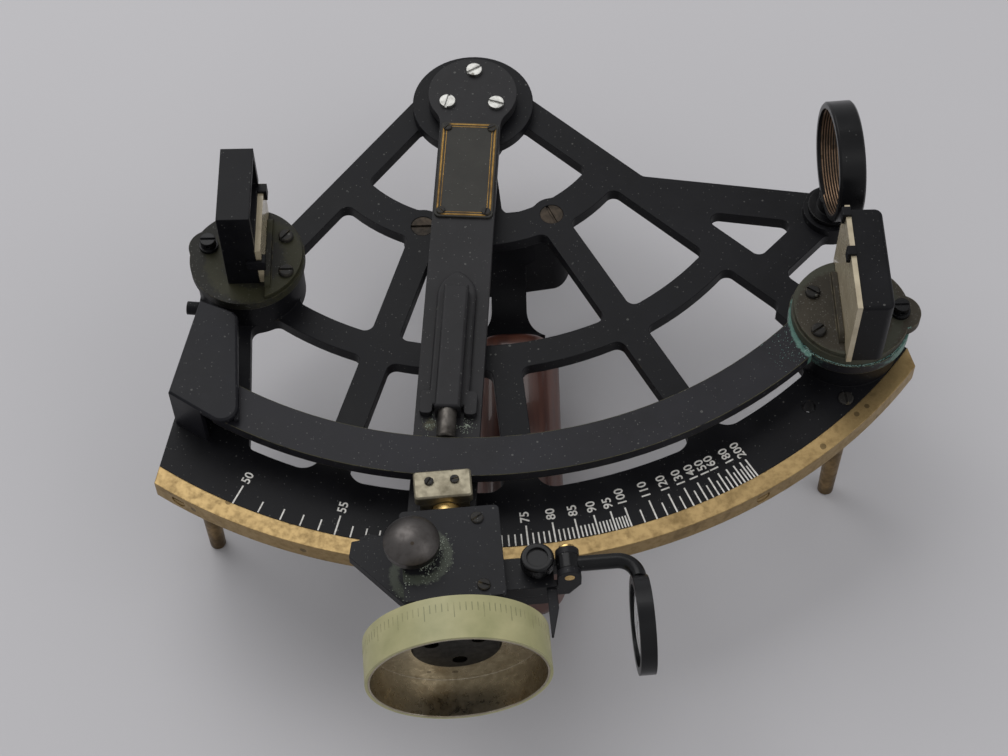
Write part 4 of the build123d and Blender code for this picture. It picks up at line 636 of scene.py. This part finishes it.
# Drum graduations: faint lines on the sleeve, every fifth one longer.
def graduation_tree(material):
    """Bars round the drum's axis, each at its seed's own angle."""
    tree, given, result = new_tree("drum_lines", {"Drum Radius": 0.0272, "Start": 0.0, "Length": 0.003,
                                                  "Width": 0.0003})
    angle = wire(tree, "GeometryNodeInputNamedAttribute", {"Name": "turn"}, data_type="FLOAT").outputs[0]
    middle = sum_of(tree, "ADD", given["Start"], sum_of(tree, "MULTIPLY", given["Length"], 0.5))
    spot = wire(tree, "ShaderNodeCombineXYZ", {
        0: sum_of(tree, "MULTIPLY", given["Drum Radius"], sum_of(tree, "SINE", angle)),
        1: sum_of(tree, "MULTIPLY", middle, -1.0),
        2: sum_of(tree, "MULTIPLY", given["Drum Radius"], sum_of(tree, "COSINE", angle))}).outputs[0]
    moved = wire(tree, "GeometryNodeSetPosition", {"Geometry": given["Geometry"], "Position": spot}).outputs[0]
    size = wire(tree, "ShaderNodeCombineXYZ", {0: given["Width"], 1: given["Length"], 2: 0.00006}).outputs[0]
    bar = wire(tree, "GeometryNodeMeshCube", {"Size": size}).outputs[0]
    bars = wire(tree, "GeometryNodeInstanceOnPoints", {
        "Points": moved, "Instance": bar, "Rotation": wire(tree, "ShaderNodeCombineXYZ", {1: angle}).outputs[0]})
    return finish_tree(tree, bars.outputs[0], material, result)


def faded_lines():
    material, tree, shader, place = new_finish("faded_lines", Roughness=0.5)
    faded = ramp(tree, noise(tree, place, 250.0), 0.4, 0.65)
    tree.links.new(blend_colours(tree, faded, rgb(0.2, 0.2, 0.1), rgb(0.32, 0.3, 0.15)),
                   shader.inputs["Base Color"])
    return material


drum_lines = graduation_tree(faded_lines())
drum_seat = Matrix.Translation((*[MM * value for value in from_drum(0, -45.5)], 68.0 * MM)) @ Matrix.Rotation(
    radians(3.9), 4, "Z")
for name, angles, length in (
        ("drum_unit_lines", [step for step in range(100) if step % 5], 2.6),
        ("drum_five_lines", [step for step in range(0, 100, 5)], 4.6)):
    lines = grow(name, drum_lines, "drum_body", [(0, 0, 0)] * len(angles), [3.6 * step for step in angles],
                 **{"Drum Radius": 27.19 * MM, "Start": 2.2 * MM, "Length": length * MM, "Width": 0.28 * MM})
    lines.data.transform(drum_seat)


# Green crumbs: dried corrosion gathered where plates meet the lever and the knob.
def crumb_tree(material):
    """A rough grain on every seed, each of its own size and turn."""
    tree, given, result = new_tree("crumbs", {"Grain": 0.0004})
    grain = wire(tree, "GeometryNodeMeshIcoSphere", {"Radius": 1.0, "Subdivisions": 1}).outputs[0]
    size = wire(tree, "FunctionNodeRandomValue", {2: 0.4, 3: 1.3, "Seed": 3}, data_type="FLOAT").outputs[1]
    turn = wire(tree, "FunctionNodeRandomValue", {1: (6.0, 6.0, 6.0), "Seed": 5}, data_type="FLOAT_VECTOR").outputs[0]
    grains = wire(tree, "GeometryNodeInstanceOnPoints", {
        "Points": given["Geometry"], "Instance": grain, "Rotation": turn,
        "Scale": sum_of(tree, "MULTIPLY", size, given["Grain"])})
    return finish_tree(tree, grains.outputs[0], material, result)


def crust_finish(name, first, second):
    material, tree, shader, place = new_finish(name, Roughness=0.85)
    tone = blend_colours(tree, ramp(tree, noise(tree, place, 600.0), 0.4, 0.6), rgb(*first), rgb(*second))
    tree.links.new(tone, shader.inputs["Base Color"])
    return material


teal_crumbs = crumb_tree(crust_finish("teal_crust", (0.07, 0.17, 0.15), (0.24, 0.36, 0.32)))
grey_crumbs = crumb_tree(crust_finish("grey_crust", (0.12, 0.14, 0.11), (0.36, 0.4, 0.33)))


def scatter(name, tree, body, support, centre, radii, bearings, count, grain, seed):
    """Crumbs in part of a ring round a centre, seated on what lies below."""
    draw = random.Random(seed)
    surface = surface_of(*support)
    points = []
    for _ in range(count):
        reach = radii[0] + (radii[1] - radii[0]) * draw.random() ** 2
        turn = radians(draw.uniform(*bearings))
        point = seat(surface, centre[0] + reach * sin(turn), centre[1] - reach * cos(turn))
        if point:
            points.append(point)
    grow(name, tree, body, points, Grain=grain * MM)


scatter("index_disc_crumbs", teal_crumbs, "lever_body", ["lever", "index_base"], (118.5, -99.5), (18.6, 20.4),
        (-55, 70), 700, 0.17, 1)
scatter("lever_boss_crumbs", teal_crumbs, "lever_body", ["lever"], (118.5, -99.5), (19.0, 31.0),
        (-85, -45), 200, 0.12, 2)
scatter("knob_crumbs", grey_crumbs, "arm", ["carriage_cover"], from_drum(-10.7, -19.3), (6.5, 13.0),
        (15, 120), 260, 0.17, 3)
scatter("carriage_crumbs", grey_crumbs, "arm", ["carriage_body", "carriage_cover"], from_drum(-17.5, -31.0),
        (0.0, 6.5), (-180, 180), 190, 0.18, 4)
scatter("plunger_crumbs", grey_crumbs, "arm", ["index_arm"], from_arm(-5.6, -134.5), (0.0, 4.2),
        (-180, 180), 110, 0.16, 5)
scatter("housing_crumbs", grey_crumbs, "arm", ["index_arm"], from_arm(6.0, -134.2), (0.0, 3.2),
        (-180, 180), 110, 0.19, 6)


# Knurl of the thumb screw: upright ridges round its head.
def knurl_tree(material):
    """Upright ridges in a ring about the seed."""
    tree, given, result = new_tree("knurl", {"Knurl Radius": 0.005, "Height": 0.003, "Ridge": 0.0003})
    ring = wire(tree, "GeometryNodeMeshCircle", {"Vertices": 40, "Radius": given["Knurl Radius"]}).outputs[0]
    ridge = wire(tree, "GeometryNodeMeshCylinder", {
        "Vertices": 6, "Radius": given["Ridge"], "Depth": given["Height"]}).outputs[0]
    ridges = wire(tree, "GeometryNodeInstanceOnPoints", {"Points": ring, "Instance": ridge}).outputs[0]
    real = wire(tree, "GeometryNodeRealizeInstances", {0: ridges}).outputs[0]
    placed = wire(tree, "GeometryNodeInstanceOnPoints", {"Points": given["Geometry"], "Instance": real}).outputs[0]
    return finish_tree(tree, placed, material, result)


knurl = knurl_tree(gloss_black)
thumb_x, thumb_y = from_drum(25.6, -25.8)
grow("thumb_knurl", knurl, "thumb_screw", [Vector((thumb_x, thumb_y, 57.0 + 17.3)) * MM], **{
    "Knurl Radius": 4.75 * MM, "Height": 3.0 * MM, "Ridge": 0.25 * MM})

# The photograph's view: the instrument lies face up on a pale table under soft light.
camera_data = bpy.data.cameras.new("camera")
camera_data.lens = 76.1
camera_data.sensor_width = 36.0
camera = bpy.data.objects.new("camera", camera_data)
bpy.context.scene.collection.objects.link(camera)
tilt = pi / 2 - 0.9984
roll = -0.0209
camera.matrix_world = (Matrix.Translation((0.00874, -0.47922, 0.62853))
                       @ Matrix.Rotation(tilt, 4, "X") @ Matrix.Rotation(roll, 4, "Z"))
bpy.context.scene.camera = camera

floor_mesh = bmesh.new()
bmesh.ops.create_grid(floor_mesh, x_segments=1, y_segments=1, size=3.0)
floor_data = bpy.data.meshes.new("table_top")
floor_mesh.to_mesh(floor_data)
floor_mesh.free()
table_top = bpy.data.objects.new("table_top", floor_data)
bpy.context.scene.collection.objects.link(table_top)
table_finish, tree, shader, place = new_finish("table_top", Roughness=0.7)
mottled = blend_colours(tree, noise(tree, place, 4.0), rgb(0.5, 0.49, 0.505), rgb(0.53, 0.52, 0.535))
tree.links.new(mottled, shader.inputs["Base Color"])
floor_data.materials.append(table_finish)


def soft_lamp(name, place, target, size, power):
    data = bpy.data.lights.new(name, "AREA")
    data.size = size
    data.energy = power
    lamp = bpy.data.objects.new(name, data)
    bpy.context.scene.collection.objects.link(lamp)
    lamp.location = place
    lamp.rotation_euler = (Vector(target) - Vector(place)).to_track_quat("-Z", "Y").to_euler()


soft_lamp("window_light", (-0.6, 0.9, 1.5), (0, -0.1, 0), 1.6, 16.0)
soft_lamp("room_fill", (1.2, -0.8, 1.4), (0, -0.1, 0), 1.4, 5.0)
world = bpy.data.worlds.new("room")
world.use_nodes = True
world.node_tree.nodes["Background"].inputs["Color"].default_value = rgb(0.97, 0.98, 1.0)
world.node_tree.nodes["Background"].inputs["Strength"].default_value = 0.55
bpy.context.scene.world = world
bpy.context.scene.view_settings.view_transform = "Standard"
